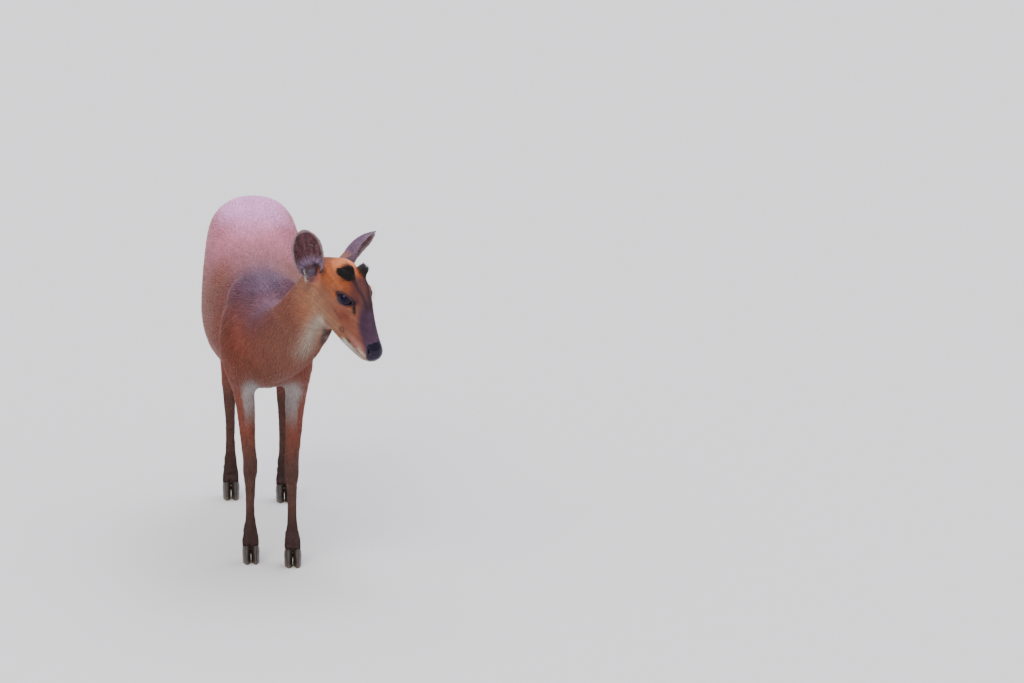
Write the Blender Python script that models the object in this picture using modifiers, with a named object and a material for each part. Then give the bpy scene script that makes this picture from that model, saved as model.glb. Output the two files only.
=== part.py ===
"""A female red muntjac, life size, standing square with her neck bent and her head turned and lowered.

The flesh is one body: lofts for the trunk, neck, head, legs and tail and a few muscle masses are
fused by a voxel remesh, smoothed and thinned, and then parted into named pieces by cuts 0.3 mm
wide. The head is carved with sockets, lids, mouth, nostrils and glands. Eyes, hooves and dewclaws
are solids of their own, the ears are cups set on their roots, and the tail and the two bony knobs
carry locks of long hair. Metres: -Y is forwards, +X is the animal's left, +Z is up.
"""

import math
import random

import bmesh
import bpy
import numpy as np
from mathutils import Matrix, Vector
from mathutils.bvhtree import BVHTree

# Driving dimensions of the body
WITHERS_HEIGHT = 0.487
RUMP_HEIGHT = 0.540
TRUNK_HALF_WIDTH = 0.088
FORE_TRACK = 0.040
HIND_TRACK = 0.045
FORE_STANCE = -0.168
HIND_STANCE = 0.207
LEFT_FORE_STEP = -0.026
RIGHT_HIND_STEP = 0.022
GAP = 0.0003
SEED = 7

# The head: its size, where its nose tip is, and how it is turned
HEAD_SIZE = 1.03
HEAD_LENGTH = 0.200
NOSE_TIP = Vector((0.1770, -0.3900, 0.4060))
HEAD_YAW = math.radians(42)
HEAD_PITCH = math.radians(43)
HEAD_ROLL = math.radians(-4)

# Places on the head, from the nose tip: back, to the side, up
EYE_PLACE = (0.1015, 0.0212, 0.0292)
EYE_LOOK = (-0.20, 0.93, 0.27)
EYE_RADIUS = 0.0138
EYE_OPENING = (0.0142, 0.0074)
EYE_TILT = math.radians(17)
LID_RADIUS = 0.0014
KNOB_PLACE = (0.1265, 0.0142, 0.0582)
EAR_PLACE = (0.1630, 0.0344, 0.0055)
EAR_LENGTH = 0.0765
EAR_HALF_WIDTH = 0.0250
EAR_THICKNESS = 0.0018
EAR_SEAM = 0.0148
EAR_SEAM_LEAN = 0.55
# The ear's root: how far out along the ear, half width, half depth
EAR_ROOT_ROWS = (
    (-0.024, 0.0115, 0.0100),
    (-0.008, 0.0140, 0.0120),
    (0.006, 0.0135, 0.0118),
    (0.0212, 0.0122, 0.0108),
)
MOUTH_CORNER = (0.0530, -0.0200)
MOUTH_FRONT = -0.0150

# Feet
CORONET_HEIGHT = 0.024
CORONET_SLOPE = 0.30
TOE_SPACING = 0.0073
DEWCLAW_HEIGHT = 0.050

# How finely the flesh is fused, and how many triangles each region keeps
VOXEL = 0.0025
KEPT = (("legs", 1960), ("trunk", 2000), ("head", 2450))


def clear_scene():
    """Removes the objects that the startup file brings."""
    for item in list(bpy.data.objects):
        bpy.data.objects.remove(item, do_unlink=True)


def new_collection(name, hidden=False):
    """A collection of the scene, hidden from renders if it holds helpers."""
    made = bpy.data.collections.new(name)
    made.hide_render = hidden
    bpy.context.scene.collection.children.link(made)
    return made


def new_material(name, colour, roughness):
    """A plain Principled finish of that linear colour."""
    made = bpy.data.materials.new(name)
    made.use_nodes = True
    shader = made.node_tree.nodes["Principled BSDF"]
    shader.inputs["Base Color"].default_value = (*colour, 1.0)
    shader.inputs["Roughness"].default_value = roughness
    shader.inputs["Metallic"].default_value = 0.0
    made.diffuse_color = (*colour, 1.0)
    return made


def object_from(name, mesh_data, collection):
    """An object of a bmesh, which is freed."""
    mesh = bpy.data.meshes.new(name)
    mesh_data.to_mesh(mesh)
    mesh_data.free()
    made = bpy.data.objects.new(name, mesh)
    collection.objects.link(made)
    return made


def remove(item):
    """Deletes an object from the file."""
    bpy.data.objects.remove(item, do_unlink=True)


def settle(item):
    """Applies an object's modifiers to its mesh."""
    graph = bpy.context.evaluated_depsgraph_get()
    mesh = bpy.data.meshes.new_from_object(item.evaluated_get(graph))
    item.modifiers.clear()
    item.data = mesh


# Lofts


def spread(stations, steps):
    """Stations with smooth ones put between them, by Catmull-Rom curves through each number."""
    rows = np.array(stations, float)
    padded = np.vstack([2 * rows[0] - rows[1], rows, 2 * rows[-1] - rows[-2]])
    made = []
    for i in range(1, len(padded) - 2):
        p0, p1, p2, p3 = padded[i - 1 : i + 3]
        for t in np.arange(steps) / steps:
            bend = (2 * p0 - 5 * p1 + 4 * p2 - p3) * t**2 + (3 * p1 - p0 - 3 * p2 + p3) * t**3
            made.append(0.5 * (2 * p1 + (p2 - p0) * t + bend))
    made.append(rows[-1])
    return made


def ring_of(centre, side, up, half_width, rise, drop, fullness=2.0, points=36):
    """Points round a section: an oval that may reach further up than down, squarer past fullness 2."""
    made = []
    for i in range(points):
        angle = 2 * math.pi * i / points
        c, s = math.cos(angle), math.sin(angle)
        across = math.copysign(abs(c) ** (2 / fullness), c) * half_width
        height = math.copysign(abs(s) ** (2 / fullness), s) * (rise if s > 0 else drop)
        made.append(centre + side * across + up * height)
    return made


def loft(name, rings, collection):
    """A closed mesh through rings of as many points each, with flat ends."""
    made = bmesh.new()
    rows = [[made.verts.new(p) for p in ring] for ring in rings]
    count = len(rings[0])
    for a, b in zip(rows, rows[1:]):
        for i in range(count):
            j = (i + 1) % count
            made.faces.new((a[i], a[j], b[j], b[i]))
    made.faces.new(rows[0])
    made.faces.new(rows[-1][::-1])
    made.normal_update()
    bmesh.ops.recalc_face_normals(made, faces=made.faces)
    return object_from(name, made, collection)


def tube(name, line, radii, collection, frame=Matrix.Identity(4), points=12):
    """A closed round bar along a line of points, as thick at each as its radius."""
    line = [Vector(p) for p in line]
    rings = []
    side = None
    for i, place in enumerate(line):
        along = (line[min(i + 1, len(line) - 1)] - line[max(i - 1, 0)]).normalized()
        if side is None:
            side = along.orthogonal()
        side = (side - along * side.dot(along)).normalized()
        up = along.cross(side)
        ring = ring_of(place, side, up, radii[i], radii[i], radii[i], 2.0, points)
        rings.append([frame @ p for p in ring])
    return loft(name, rings, collection)


def ellipsoid(name, centre, radii, frame, collection, rings=16):
    """A ball of three radii, set in a frame given as a 4x4 matrix."""
    made = bmesh.new()
    bmesh.ops.create_uvsphere(made, u_segments=2 * rings, v_segments=rings, radius=1.0)
    place = frame @ Matrix.Translation(Vector(centre)) @ Matrix.Diagonal((*radii, 1.0))
    made.transform(place)
    made.normal_update()
    bmesh.ops.recalc_face_normals(made, faces=made.faces)
    return object_from(name, made, collection)


def mirrored(place, side):
    """A place on the head or body, on the left for side 1 and on the right for side -1."""
    return Vector((place[0], place[1] * side, place[2]))


def combine(item, others, operation, solver="EXACT"):
    """Adds or cuts the other solids, which are then removed, by one Boolean."""
    group = new_collection("operands", hidden=True)
    for other in others:
        for owner in list(other.users_collection):
            owner.objects.unlink(other)
        group.objects.link(other)
    modifier = item.modifiers.new("combine", "BOOLEAN")
    modifier.operation = operation
    modifier.operand_type = "COLLECTION"
    modifier.collection = group
    modifier.solver = solver
    settle(item)
    for other in others:
        remove(other)
    bpy.data.collections.remove(group)


def islands(item):
    """The closed surfaces of a mesh as lists of face numbers, the largest first."""
    made = bmesh.new()
    made.from_mesh(item.data)
    made.faces.ensure_lookup_table()
    seen, found = set(), []
    for face in made.faces:
        if face.index in seen:
            continue
        stack, group = [face], []
        seen.add(face.index)
        while stack:
            current = stack.pop()
            group.append(current.index)
            for edge in current.edges:
                for other in edge.link_faces:
                    if other.index not in seen:
                        seen.add(other.index)
                        stack.append(other)
        found.append(group)
    made.free()
    return sorted(found, key=len, reverse=True)


def island_object(item, faces, name, collection):
    """An object of some of a mesh's faces alone."""
    made = bmesh.new()
    made.from_mesh(item.data)
    wanted = set(faces)
    made.faces.ensure_lookup_table()
    others = [face for face in made.faces if face.index not in wanted]
    bmesh.ops.delete(made, geom=others, context="FACES")
    loose = [vertex for vertex in made.verts if not vertex.link_faces]
    bmesh.ops.delete(made, geom=loose, context="VERTS")
    return object_from(name, made, collection)


def keep_largest(item):
    """Leaves only the largest closed surface of a mesh."""
    groups = islands(item)
    if len(groups) == 1:
        return
    made = bmesh.new()
    made.from_mesh(item.data)
    made.faces.ensure_lookup_table()
    wanted = set(groups[0])
    others = [face for face in made.faces if face.index not in wanted]
    bmesh.ops.delete(made, geom=others, context="FACES")
    loose = [vertex for vertex in made.verts if not vertex.link_faces]
    bmesh.ops.delete(made, geom=loose, context="VERTS")
    made.to_mesh(item.data)
    made.free()


# The trunk: y, top, bottom, half width, height of the widest level as a share, fullness
TRUNK_STATIONS = (
    (-0.262, 0.398, 0.350, 0.020, 0.50, 2.0),
    (-0.245, 0.424, 0.325, 0.040, 0.48, 2.1),
    (-0.212, 0.456, 0.306, 0.056, 0.46, 2.2),
    (-0.165, WITHERS_HEIGHT - 0.008, 0.298, 0.067, 0.44, 2.1),
    (-0.105, WITHERS_HEIGHT, 0.292, 0.079, 0.43, 2.0),
    (-0.040, WITHERS_HEIGHT + 0.006, 0.285, TRUNK_HALF_WIDTH, 0.43, 2.1),
    (0.035, WITHERS_HEIGHT + 0.023, 0.286, TRUNK_HALF_WIDTH + 0.003, 0.45, 2.2),
    (0.100, RUMP_HEIGHT - 0.011, 0.302, 0.088, 0.50, 2.35),
    (0.160, RUMP_HEIGHT, 0.326, 0.0805, 0.55, 2.4),
    (0.212, RUMP_HEIGHT - 0.009, 0.346, 0.074, 0.56, 2.35),
    (0.252, RUMP_HEIGHT - 0.040, 0.370, 0.058, 0.56, 2.25),
    (0.280, RUMP_HEIGHT - 0.077, 0.396, 0.038, 0.55, 2.1),
    (0.294, RUMP_HEIGHT - 0.107, 0.418, 0.014, 0.50, 2.0),
)


def sway_at(y):
    """How far the trunk's midline bows to the right as the neck bends to the left."""
    return -0.010 * math.exp(-(((y - 0.015) / 0.11) ** 2)) - 0.0065 * math.exp(-(((y - 0.18) / 0.07) ** 2))


def build_trunk(collection):
    """The barrel of the body, from the breast to the buttocks."""
    rings = []
    for y, top, bottom, width, level, fullness in spread(TRUNK_STATIONS, 4):
        widest = bottom + (top - bottom) * level
        centre = Vector((sway_at(y), y, widest))
        side, up = Vector((1, 0, 0)), Vector((0, 0, 1))
        rings.append(ring_of(centre, side, up, width, top - widest, widest - bottom, fullness, 44))
    return loft("trunk_mass", rings, collection)


# The neck: x, y, z of its line, half width, how far it reaches to the nape and to the throat
NECK_STATIONS = (
    (0.000, -0.110, 0.405, 0.050, 0.066, 0.090),
    (0.001, -0.165, 0.400, 0.053, 0.066, 0.088),
    (0.007, -0.212, 0.402, 0.051, 0.058, 0.084),
    (0.021, -0.249, 0.416, 0.047, 0.047, 0.079),
    (0.044, -0.274, 0.444, 0.043, 0.038, 0.071),
    (0.070, -0.290, 0.482, 0.0390, 0.036, 0.056),
    (0.092, -0.299, 0.518, 0.033, 0.032, 0.042),
)


def build_neck(collection):
    """The neck, a tall oval that bends to the left and rises to the head."""
    rows = spread(NECK_STATIONS, 4)
    line = [Vector(row[:3]) for row in rows]
    rings = []
    for i, row in enumerate(rows):
        along = (line[min(i + 1, len(line) - 1)] - line[max(i - 1, 0)]).normalized()
        side = along.cross(Vector((0, 0, 1))).normalized()
        up = side.cross(along)
        rings.append(ring_of(line[i], side, up, row[3], row[4], row[5], 2.05))
    return loft("neck_mass", rings, collection)


# Legs: side, forwards, height, half width, half depth. A stance is added to the second number
FORE_STATIONS = (
    (0.030, 0.018, 0.455, 0.024, 0.038),
    (0.043, 0.004, 0.418, 0.030, 0.054),
    (0.050, -0.014, 0.372, 0.030, 0.058),
    (0.051, -0.012, 0.332, 0.0260, 0.048),
    (0.049, 0.002, 0.295, 0.0205, 0.036),
    (0.046, 0.004, 0.255, 0.0160, 0.0250),
    (0.043, 0.001, 0.205, 0.0122, 0.0162),
    (FORE_TRACK, -0.001, 0.172, 0.0122, 0.0140),
    (FORE_TRACK, -0.002, 0.155, 0.0126, 0.0142),
    (FORE_TRACK, 0.000, 0.136, 0.0100, 0.0112),
    (FORE_TRACK, 0.001, 0.100, 0.0078, 0.0092),
    (FORE_TRACK, 0.001, 0.070, 0.0084, 0.0102),
    (FORE_TRACK, 0.001, 0.056, 0.0108, 0.0130),
    (FORE_TRACK, -0.006, 0.042, 0.0098, 0.0108),
)
HIND_STATIONS = (
    (0.034, -0.036, 0.500, 0.022, 0.048),
    (0.044, -0.026, 0.458, 0.032, 0.074),
    (0.050, -0.018, 0.412, 0.033, 0.080),
    (0.052, -0.022, 0.366, 0.030, 0.070),
    (0.052, -0.026, 0.326, 0.0255, 0.055),
    (0.051, -0.016, 0.286, 0.0195, 0.040),
    (0.048, 0.006, 0.246, 0.0150, 0.0275),
    (0.0465, 0.022, 0.214, 0.0128, 0.0230),
    (0.046, 0.027, 0.194, 0.0126, 0.0195),
    (0.0455, 0.021, 0.168, 0.0106, 0.0140),
    (HIND_TRACK, 0.009, 0.125, 0.0082, 0.0106),
    (HIND_TRACK, 0.002, 0.082, 0.0084, 0.0106),
    (HIND_TRACK, 0.000, 0.062, 0.0112, 0.0136),
    (HIND_TRACK, -0.008, 0.046, 0.0100, 0.0112),
)
# How far in front of its stance each foot's hooves are centred
FOOT_REACH = 0.017


class LegPlan:
    """Where one leg stands, and how it steps and leans away from the plain stance."""

    def __init__(self, name, stations, side, stance, step, track, lean):
        self.name = name
        self.stations = stations
        self.side = side
        self.stance = stance
        self.step = step
        self.track = track
        self.lean = lean

    def shift(self, height):
        """How far step and lean have carried the leg at a height: none at the body, all at the foot."""
        share = min(1.0, max(0.0, (0.36 - height) / 0.30))
        leaning = min(1.0, max(0.0, (0.40 - height) / 0.13))
        leaning = leaning * leaning * (3 - 2 * leaning)
        return Vector((self.lean * leaning, self.step * share, 0.0))

    def foot(self):
        """The point on the floor under the leg."""
        return Vector((self.track * self.side + self.lean, self.stance + self.step, 0.0))


LEGS = (
    LegPlan("fore_left", FORE_STATIONS, 1, FORE_STANCE, LEFT_FORE_STEP, FORE_TRACK, 0.002),
    LegPlan("fore_right", FORE_STATIONS, -1, FORE_STANCE, 0.0, FORE_TRACK, 0.013),
    LegPlan("hind_left", HIND_STATIONS, 1, HIND_STANCE, 0.0, HIND_TRACK, 0.0),
    LegPlan("hind_right", HIND_STATIONS, -1, HIND_STANCE, RIGHT_HIND_STEP, HIND_TRACK, 0.0),
)


def build_leg(plan, collection):
    """One leg's flesh, from inside the trunk to the two toes."""
    across, forward = Vector((1, 0, 0)), Vector((0, -1, 0))
    rings = []
    for x, y, z, wide, deep in spread(plan.stations, 3):
        centre = Vector((x * plan.side, y + plan.stance, z)) + plan.shift(z)
        rings.append(ring_of(centre, across, forward, wide, deep, deep, 2.1, 28))
    pieces = [loft(plan.name + "_mass", rings, collection)]
    foot = plan.foot()
    for toe in (-1, 1):
        place = foot + Vector((TOE_SPACING * toe, 0, 0))
        toe_rows = (
            (-0.004, 0.048, 0.0062, 0.0100),
            (-0.011, 0.036, 0.0064, 0.0104),
            (-FOOT_REACH + 0.001, CORONET_HEIGHT, 0.0068, 0.0124),
            (-FOOT_REACH, CORONET_HEIGHT - 0.012, 0.0068, 0.0130),
        )
        rings = [
            ring_of(place + Vector((0, y, z)), across, forward, wide, deep, deep, 2.1, 20)
            for y, z, wide, deep in spread(toe_rows, 3)
        ]
        pieces.append(loft(f"{plan.name}_toe_{toe}", rings, collection))
    return pieces


# The head, in its own frame: back from the nose, half width, top, bottom, widest level, fullness
HEAD_STATIONS = (
    (0.0010, 0.0098, 0.0072, -0.0120, -0.001, 2.2),
    (0.0060, 0.0132, 0.0120, -0.0185, -0.002, 2.3),
    (0.0150, 0.0148, 0.0160, -0.0262, -0.004, 2.3),
    (0.0300, 0.0168, 0.0222, -0.0312, -0.005, 2.3),
    (0.0500, 0.0206, 0.0312, -0.0355, -0.003, 2.35),
    (0.0700, 0.0254, 0.0410, -0.0395, 0.003, 2.35),
    (0.0900, 0.0306, 0.0502, -0.0435, 0.011, 2.3),
    (0.1080, 0.0336, 0.0560, -0.0465, 0.015, 2.3),
    (0.1280, 0.0352, 0.0590, -0.0465, 0.014, 2.3),
    (0.1480, 0.0352, 0.0572, -0.0425, 0.012, 2.25),
    (0.1620, 0.0345, 0.0500, -0.0370, 0.011, 2.2),
    (0.1740, 0.0325, 0.0385, -0.0310, 0.009, 2.1),
    (0.1860, 0.0285, 0.0240, -0.0240, 0.004, 2.0),
    (0.1945, 0.0235, 0.0140, -0.0180, 0.000, 2.0),
    (HEAD_LENGTH + 0.0005, 0.0120, 0.0050, -0.0110, -0.002, 2.0),
)


def head_frame():
    """The matrix from the head's own frame to the body's."""
    ahead = Vector((
        math.sin(HEAD_YAW) * math.cos(HEAD_PITCH),
        -math.cos(HEAD_YAW) * math.cos(HEAD_PITCH),
        -math.sin(HEAD_PITCH),
    ))
    level_left = Vector((0, 0, 1)).cross(ahead).normalized()
    level_up = ahead.cross(level_left)
    left = level_left * math.cos(HEAD_ROLL) + level_up * math.sin(HEAD_ROLL)
    up = level_up * math.cos(HEAD_ROLL) - level_left * math.sin(HEAD_ROLL)
    turned = Matrix((-ahead, left, up)).transposed().to_4x4()
    return Matrix.Translation(NOSE_TIP) @ turned @ Matrix.Scale(HEAD_SIZE, 4)


def ear_axes(side):
    """One ear's direction, the direction its cup faces, and the direction across it, on the head."""
    along = Vector((0.195, 0.872, 0.458) if side > 0 else (0.48, -0.42, 0.72)).normalized()
    facing = Vector((-0.952, 0.269, 0.150) if side > 0 else (-0.315, -0.70, 0.64))
    facing = (facing - along * facing.dot(along)).normalized()
    return along, facing, along.cross(facing)


def build_head(collection):
    """The head's flesh: skull and muzzle with the cheeks, brows, knobs and ear roots."""
    frame = head_frame()
    rings = []
    for x, width, top, bottom, level, fullness in spread(HEAD_STATIONS, 4):
        centre = Vector((x, 0, level))
        side, up = Vector((0, 1, 0)), Vector((0, 0, 1))
        ring = ring_of(centre, side, up, width, top - level, level - bottom, fullness)
        rings.append([frame @ p for p in ring])
    pieces = [loft("head_mass", rings, collection)]
    balls = [("nose", (0.0095, 0, -0.001), (0.0115, 0.0140, 0.0128))]
    for side in (-1, 1):
        balls += [
            ("orbit", mirrored(EYE_PLACE, side), (0.0172, 0.0152, 0.0160)),
            ("brow", mirrored((0.107, 0.0205, 0.0385), side), (0.0160, 0.0105, 0.0105)),
            ("cheek", mirrored((0.132, 0.020, -0.014), side), (0.034, 0.0150, 0.026)),
            ("lip", mirrored((0.034, 0.0100, -0.0115), side), (0.026, 0.0070, 0.0090)),
            ("knob", mirrored(KNOB_PLACE, side), (0.0100, 0.0078, 0.0090)),
        ]
    for label, centre, radii in balls:
        pieces.append(ellipsoid(label + "_mass", centre, radii, frame, collection))
    for side in (-1, 1):
        along, facing, across = ear_axes(side)
        root = mirrored(EAR_PLACE, side)
        rings = [
            [frame @ p for p in ring_of(root + along * far, across, facing, wide, deep, deep, 2.0, 24)]
            for far, wide, deep in EAR_ROOT_ROWS
        ]
        pieces.append(loft("ear_root_mass", rings, collection))
        rows = (
            (0.060, 0.0068 * side, 0.0320, 0.0034),
            (0.085, 0.0092 * side, 0.0455, 0.0042),
            (0.107, 0.0122 * side, 0.0530, 0.0050),
            (KNOB_PLACE[0], KNOB_PLACE[1] * side, KNOB_PLACE[2] - 0.003, 0.0058),
        )
        rows = spread(rows, 4)
        pieces.append(tube("ridge_mass", [r[:3] for r in rows], [r[3] for r in rows], collection, frame, 16))
    return pieces


# The tail's core: y, height, half width, half depth
TAIL_STATIONS = (
    (0.245, 0.486, 0.0170, 0.0150),
    (0.276, 0.478, 0.0170, 0.0140),
    (0.300, 0.457, 0.0185, 0.0115),
    (0.3095, 0.428, 0.0205, 0.0085),
    (0.3090, 0.392, 0.0205, 0.0075),
    (0.3030, 0.352, 0.0150, 0.0060),
    (0.2990, 0.330, 0.0080, 0.0040),
)


def tail_rows(steps):
    """The tail's line with the direction across its back at each point, and its half sizes."""
    rows = spread(TAIL_STATIONS, steps)
    line = [Vector((0, row[0], row[1])) for row in rows]
    made = []
    for i, row in enumerate(rows):
        along = (line[min(i + 1, len(line) - 1)] - line[max(i - 1, 0)]).normalized()
        outward = Vector((1, 0, 0)).cross(along).normalized()
        if outward.y + outward.z < 0:
            outward = -outward
        made.append((line[i], along, outward, row[2], row[3]))
    return made


def build_tail_core(collection):
    """The tail's flesh, hanging close behind the buttocks."""
    rings = [
        ring_of(place, Vector((1, 0, 0)), outward, wide, deep, deep, 2.0, 20)
        for place, along, outward, wide, deep in tail_rows(3)
    ]
    return loft("tail_mass", rings, collection)


def build_muscles(collection):
    """Masses that the lofts alone lack: haunches, shoulder blades, breast and the flank fold."""
    body = Matrix.Identity(4)
    plans = [
        ("breast", (0.008, -0.226, 0.374), (0.048, 0.038, 0.052)),
        ("croup", (-0.009, 0.203, 0.462), (0.067, 0.077, 0.071)),
    ]
    for side in (-1, 1):
        plans += [
            ("haunch", (0.040 * side, 0.182, 0.425), (0.037, 0.088, 0.086)),
            ("blade", (0.034 * side, -0.140, 0.420), (0.032, 0.054, 0.060)),
            ("flank", (0.044 * side, 0.112, 0.348), (0.028, 0.050, 0.042)),
        ]
    return [ellipsoid(n + "_mass", c, r, body, collection) for n, c, r in plans]


def fuse(pieces):
    """One closed mesh from pieces that overlap, by a voxel remesh."""
    whole = pieces[0]
    made = bmesh.new()
    for piece in pieces:
        made.from_mesh(piece.data)
    made.to_mesh(whole.data)
    made.free()
    for piece in pieces[1:]:
        remove(piece)
    remesh = whole.modifiers.new("fuse", "REMESH")
    remesh.mode = "VOXEL"
    remesh.voxel_size = VOXEL
    settle(whole)
    return whole


def weigh(item, name, weight_of):
    """A vertex group with a weight worked out from each vertex's place."""
    group = item.vertex_groups.new(name=name)
    for vertex in item.data.vertices:
        group.add((vertex.index,), weight_of(vertex.co), "REPLACE")
    return group.name


def region_of(place, to_head):
    """Whether a place belongs to the head, the legs or the trunk."""
    local = to_head @ place
    if local.x < 0.185 and abs(local.y) < 0.075 and abs(local.z) < 0.09:
        return "head"
    return "legs" if place.z < 0.275 else "trunk"


def soften(item):
    """Smooths the joins of the masses, and the thin legs, the tail and the face only a little."""
    to_head = head_frame().inverted()

    def body_weight(place):
        if (to_head @ place).x < HEAD_LENGTH * 0.8 and place.y < -0.25:
            return 0.0
        low = min(1.0, max(0.0, (place.z - 0.235) / 0.06))
        tail = min(1.0, max(0.0, (0.300 - place.y) / 0.015))
        return low * tail

    name = weigh(item, "trunk", body_weight)
    broad = item.modifiers.new("broad", "SMOOTH")
    broad.factor, broad.iterations, broad.vertex_group = 0.5, 36, name
    fine = item.modifiers.new("fine", "SMOOTH")
    fine.factor, fine.iterations = 0.5, 4
    settle(item)


def thin_out(item):
    """Thins the mesh region by region to its share of triangles, where it is flattest first."""
    to_head = head_frame().inverted()
    item.modifiers.new("triangles", "TRIANGULATE")
    settle(item)
    for region, count in KEPT:
        name = weigh(item, region, lambda place: float(region_of(place, to_head) == region))
        inside = 0
        for face in item.data.polygons:
            inside += region_of(face.center, to_head) == region
        total = len(item.data.polygons)
        modifier = item.modifiers.new("thin", "DECIMATE")
        modifier.ratio = (total - inside + count) / total
        modifier.vertex_group = name
        modifier.vertex_group_factor = 1000.0
        modifier.use_collapse_triangulate = True
        settle(item)
        item.vertex_groups.clear()


# The cuts that part the flesh


def slab(centre, normal, across, reach, depth, collection, thickness=GAP):
    """A thin box on a plane: its centre, normal, a direction in the plane, and its half sizes."""
    normal = Vector(normal).normalized()
    across = Vector(across)
    across = (across - normal * across.dot(normal)).normalized()
    other = normal.cross(across)
    made = bmesh.new()
    bmesh.ops.create_cube(made, size=1.0)
    turn = Matrix((across, other, normal)).transposed().to_4x4()
    size = Matrix.Diagonal((2 * reach, 2 * depth, thickness, 1.0))
    made.transform(Matrix.Translation(Vector(centre)) @ turn @ size)
    return object_from("slab", made, collection)


def disc(centre, normal, radius, collection, thickness=GAP):
    """A thin round plate on a plane."""
    normal = Vector(normal).normalized()
    side = normal.orthogonal().normalized()
    up = normal.cross(side)
    rings = [
        ring_of(Vector(centre) + normal * far, side, up, radius, radius, radius, 2.0, 32)
        for far in (-thickness / 2, thickness / 2)
    ]
    return loft("disc", rings, collection)


def seam_cutters(collection):
    """The plates that part head, neck, trunk, legs, ears and tail."""
    frame = head_frame()
    turn = frame.to_3x3().normalized()
    made = [
        slab((0.0, -0.232, 0.412), (0, -0.822, 0.569), (1, 0, 0), 0.12, 0.12, collection),
        slab(frame @ Vector((0.150, 0, -0.043)), turn @ Vector((-0.45, 0, 0.89)), turn @ Vector((0, 1, 0)),
             0.075, 0.086, collection),
    ]
    place, along, outward, wide, deep = tail_rows(3)[8]
    made.append(slab(place + outward * 0.004, along, (1, 0, 0), 0.030, 0.0180, collection))
    for side in (-1, 1):
        along = ear_axes(side)[0]
        seam = frame @ (mirrored(EAR_PLACE, side) + along * EAR_SEAM)
        facing = (turn @ (along + Vector((0, EAR_SEAM_LEAN * side, 0)))).normalized()
        made.append(disc(seam, facing, 0.0195, collection))
    for plan in LEGS:
        side = plan.side
        foot = plan.foot()
        if plan.stations is FORE_STATIONS:
            made.append(slab((0.053 * side, plan.stance - 0.002, 0.312), (-0.58 * side, 0.16, 1),
                             (1, 0, 0.58 * side), 0.047, 0.068, collection))
            joint = plan.shift(0.163) + Vector((FORE_TRACK * side, plan.stance, 0.163))
            made.append(slab(joint, (0, 0.08, 1), (1, 0, 0), 0.03, 0.03, collection))
        else:
            made.append(slab((0.053 * side - 0.003, 0.176, 0.340), (-0.70 * side, -0.36, 1),
                             (1, 0, 0.70 * side), 0.047, 0.108, collection))
            joint = plan.shift(0.197) + Vector((0.046 * side, plan.stance + 0.020, 0.197))
            made.append(slab(joint, (0, 0.45, 1), (1, 0, 0), 0.03, 0.036, collection))
        sole = slab(foot + Vector((0, -FOOT_REACH, CORONET_HEIGHT - 0.05)), (0, CORONET_SLOPE, 1),
                    (1, 0, 0), 0.026, 0.035, collection, 0.1 * math.cos(math.atan(CORONET_SLOPE)))
        made.append(sole)
    return made


def anchors():
    """A place inside each piece of flesh, by which it gets its name."""
    frame = head_frame()
    made = {
        "head": frame @ Vector((0.105, 0, 0.005)),
        "neck": Vector((0.045, -0.272, 0.440)),
        "torso": Vector((0.0, 0.03, 0.410)),
        "tail": Vector((0.0, 0.318, 0.400)),
    }
    for side, label in ((1, "left"), (-1, "right")):
        along = ear_axes(side)[0]
        made["ear_" + label] = frame @ (mirrored(EAR_PLACE, side) + along * (EAR_SEAM + 0.003))
    for plan in LEGS:
        fore = plan.stations is FORE_STATIONS
        knee = 0.24 if fore else 0.28
        made["upper_leg_" + plan.name] = Vector((0.047 * plan.side, plan.stance, knee)) + plan.shift(knee)
        made["lower_leg_" + plan.name] = plan.foot() + Vector((0, 0, 0.09))
    return made


def part_flesh(item, collection):
    """Cuts the flesh along its seams and names the pieces."""
    helpers = new_collection("helpers", hidden=True)
    combine(item, seam_cutters(helpers), "DIFFERENCE")
    bpy.data.collections.remove(helpers)
    places = anchors()
    found = {}
    for faces in islands(item):
        if len(faces) < 12:
            continue
        piece = island_object(item, faces, "piece", collection)
        centre = sum((v.co for v in piece.data.vertices), Vector()) / len(piece.data.vertices)
        name = min(places, key=lambda key: (places[key] - centre).length)
        if name in found:
            remove(piece)
            continue
        piece.name = name
        found[name] = piece
    remove(item)
    return found


# Locks of long hair


def lock(root, along, outward, length, width, thickness, bend, curl, collection):
    """A flat, tapered, bent blade of hair: it bends towards the outward side and curls across."""
    along, outward = Vector(along).normalized(), Vector(outward)
    outward = (outward - along * outward.dot(along)).normalized()
    across = along.cross(outward)
    made = bmesh.new()
    rows = []
    for share, breadth in ((0.0, 0.80), (0.28, 1.0), (0.58, 0.86), (0.82, 0.50)):
        lean = bend * share * share * length
        drift = curl * share * share * length
        place = Vector(root) + along * (length * share) + outward * lean + across * drift
        half, thick = width * breadth / 2, thickness * (1 - 0.5 * share) / 2
        offsets = (across * half, outward * thick, -across * half, -outward * thick)
        rows.append([made.verts.new(place + offset) for offset in offsets])
    tip = made.verts.new(Vector(root) + along * length + outward * bend * length + across * curl * length)
    for a, b in zip(rows, rows[1:]):
        for i in range(4):
            j = (i + 1) % 4
            made.faces.new((a[i], a[j], b[j], b[i]))
    made.faces.new(rows[0][::-1])
    for i in range(4):
        made.faces.new((rows[-1][i], rows[-1][(i + 1) % 4], tip))
    bmesh.ops.triangulate(made, faces=made.faces)
    made.normal_update()
    bmesh.ops.recalc_face_normals(made, faces=made.faces)
    return object_from("lock", made, collection)


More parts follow.
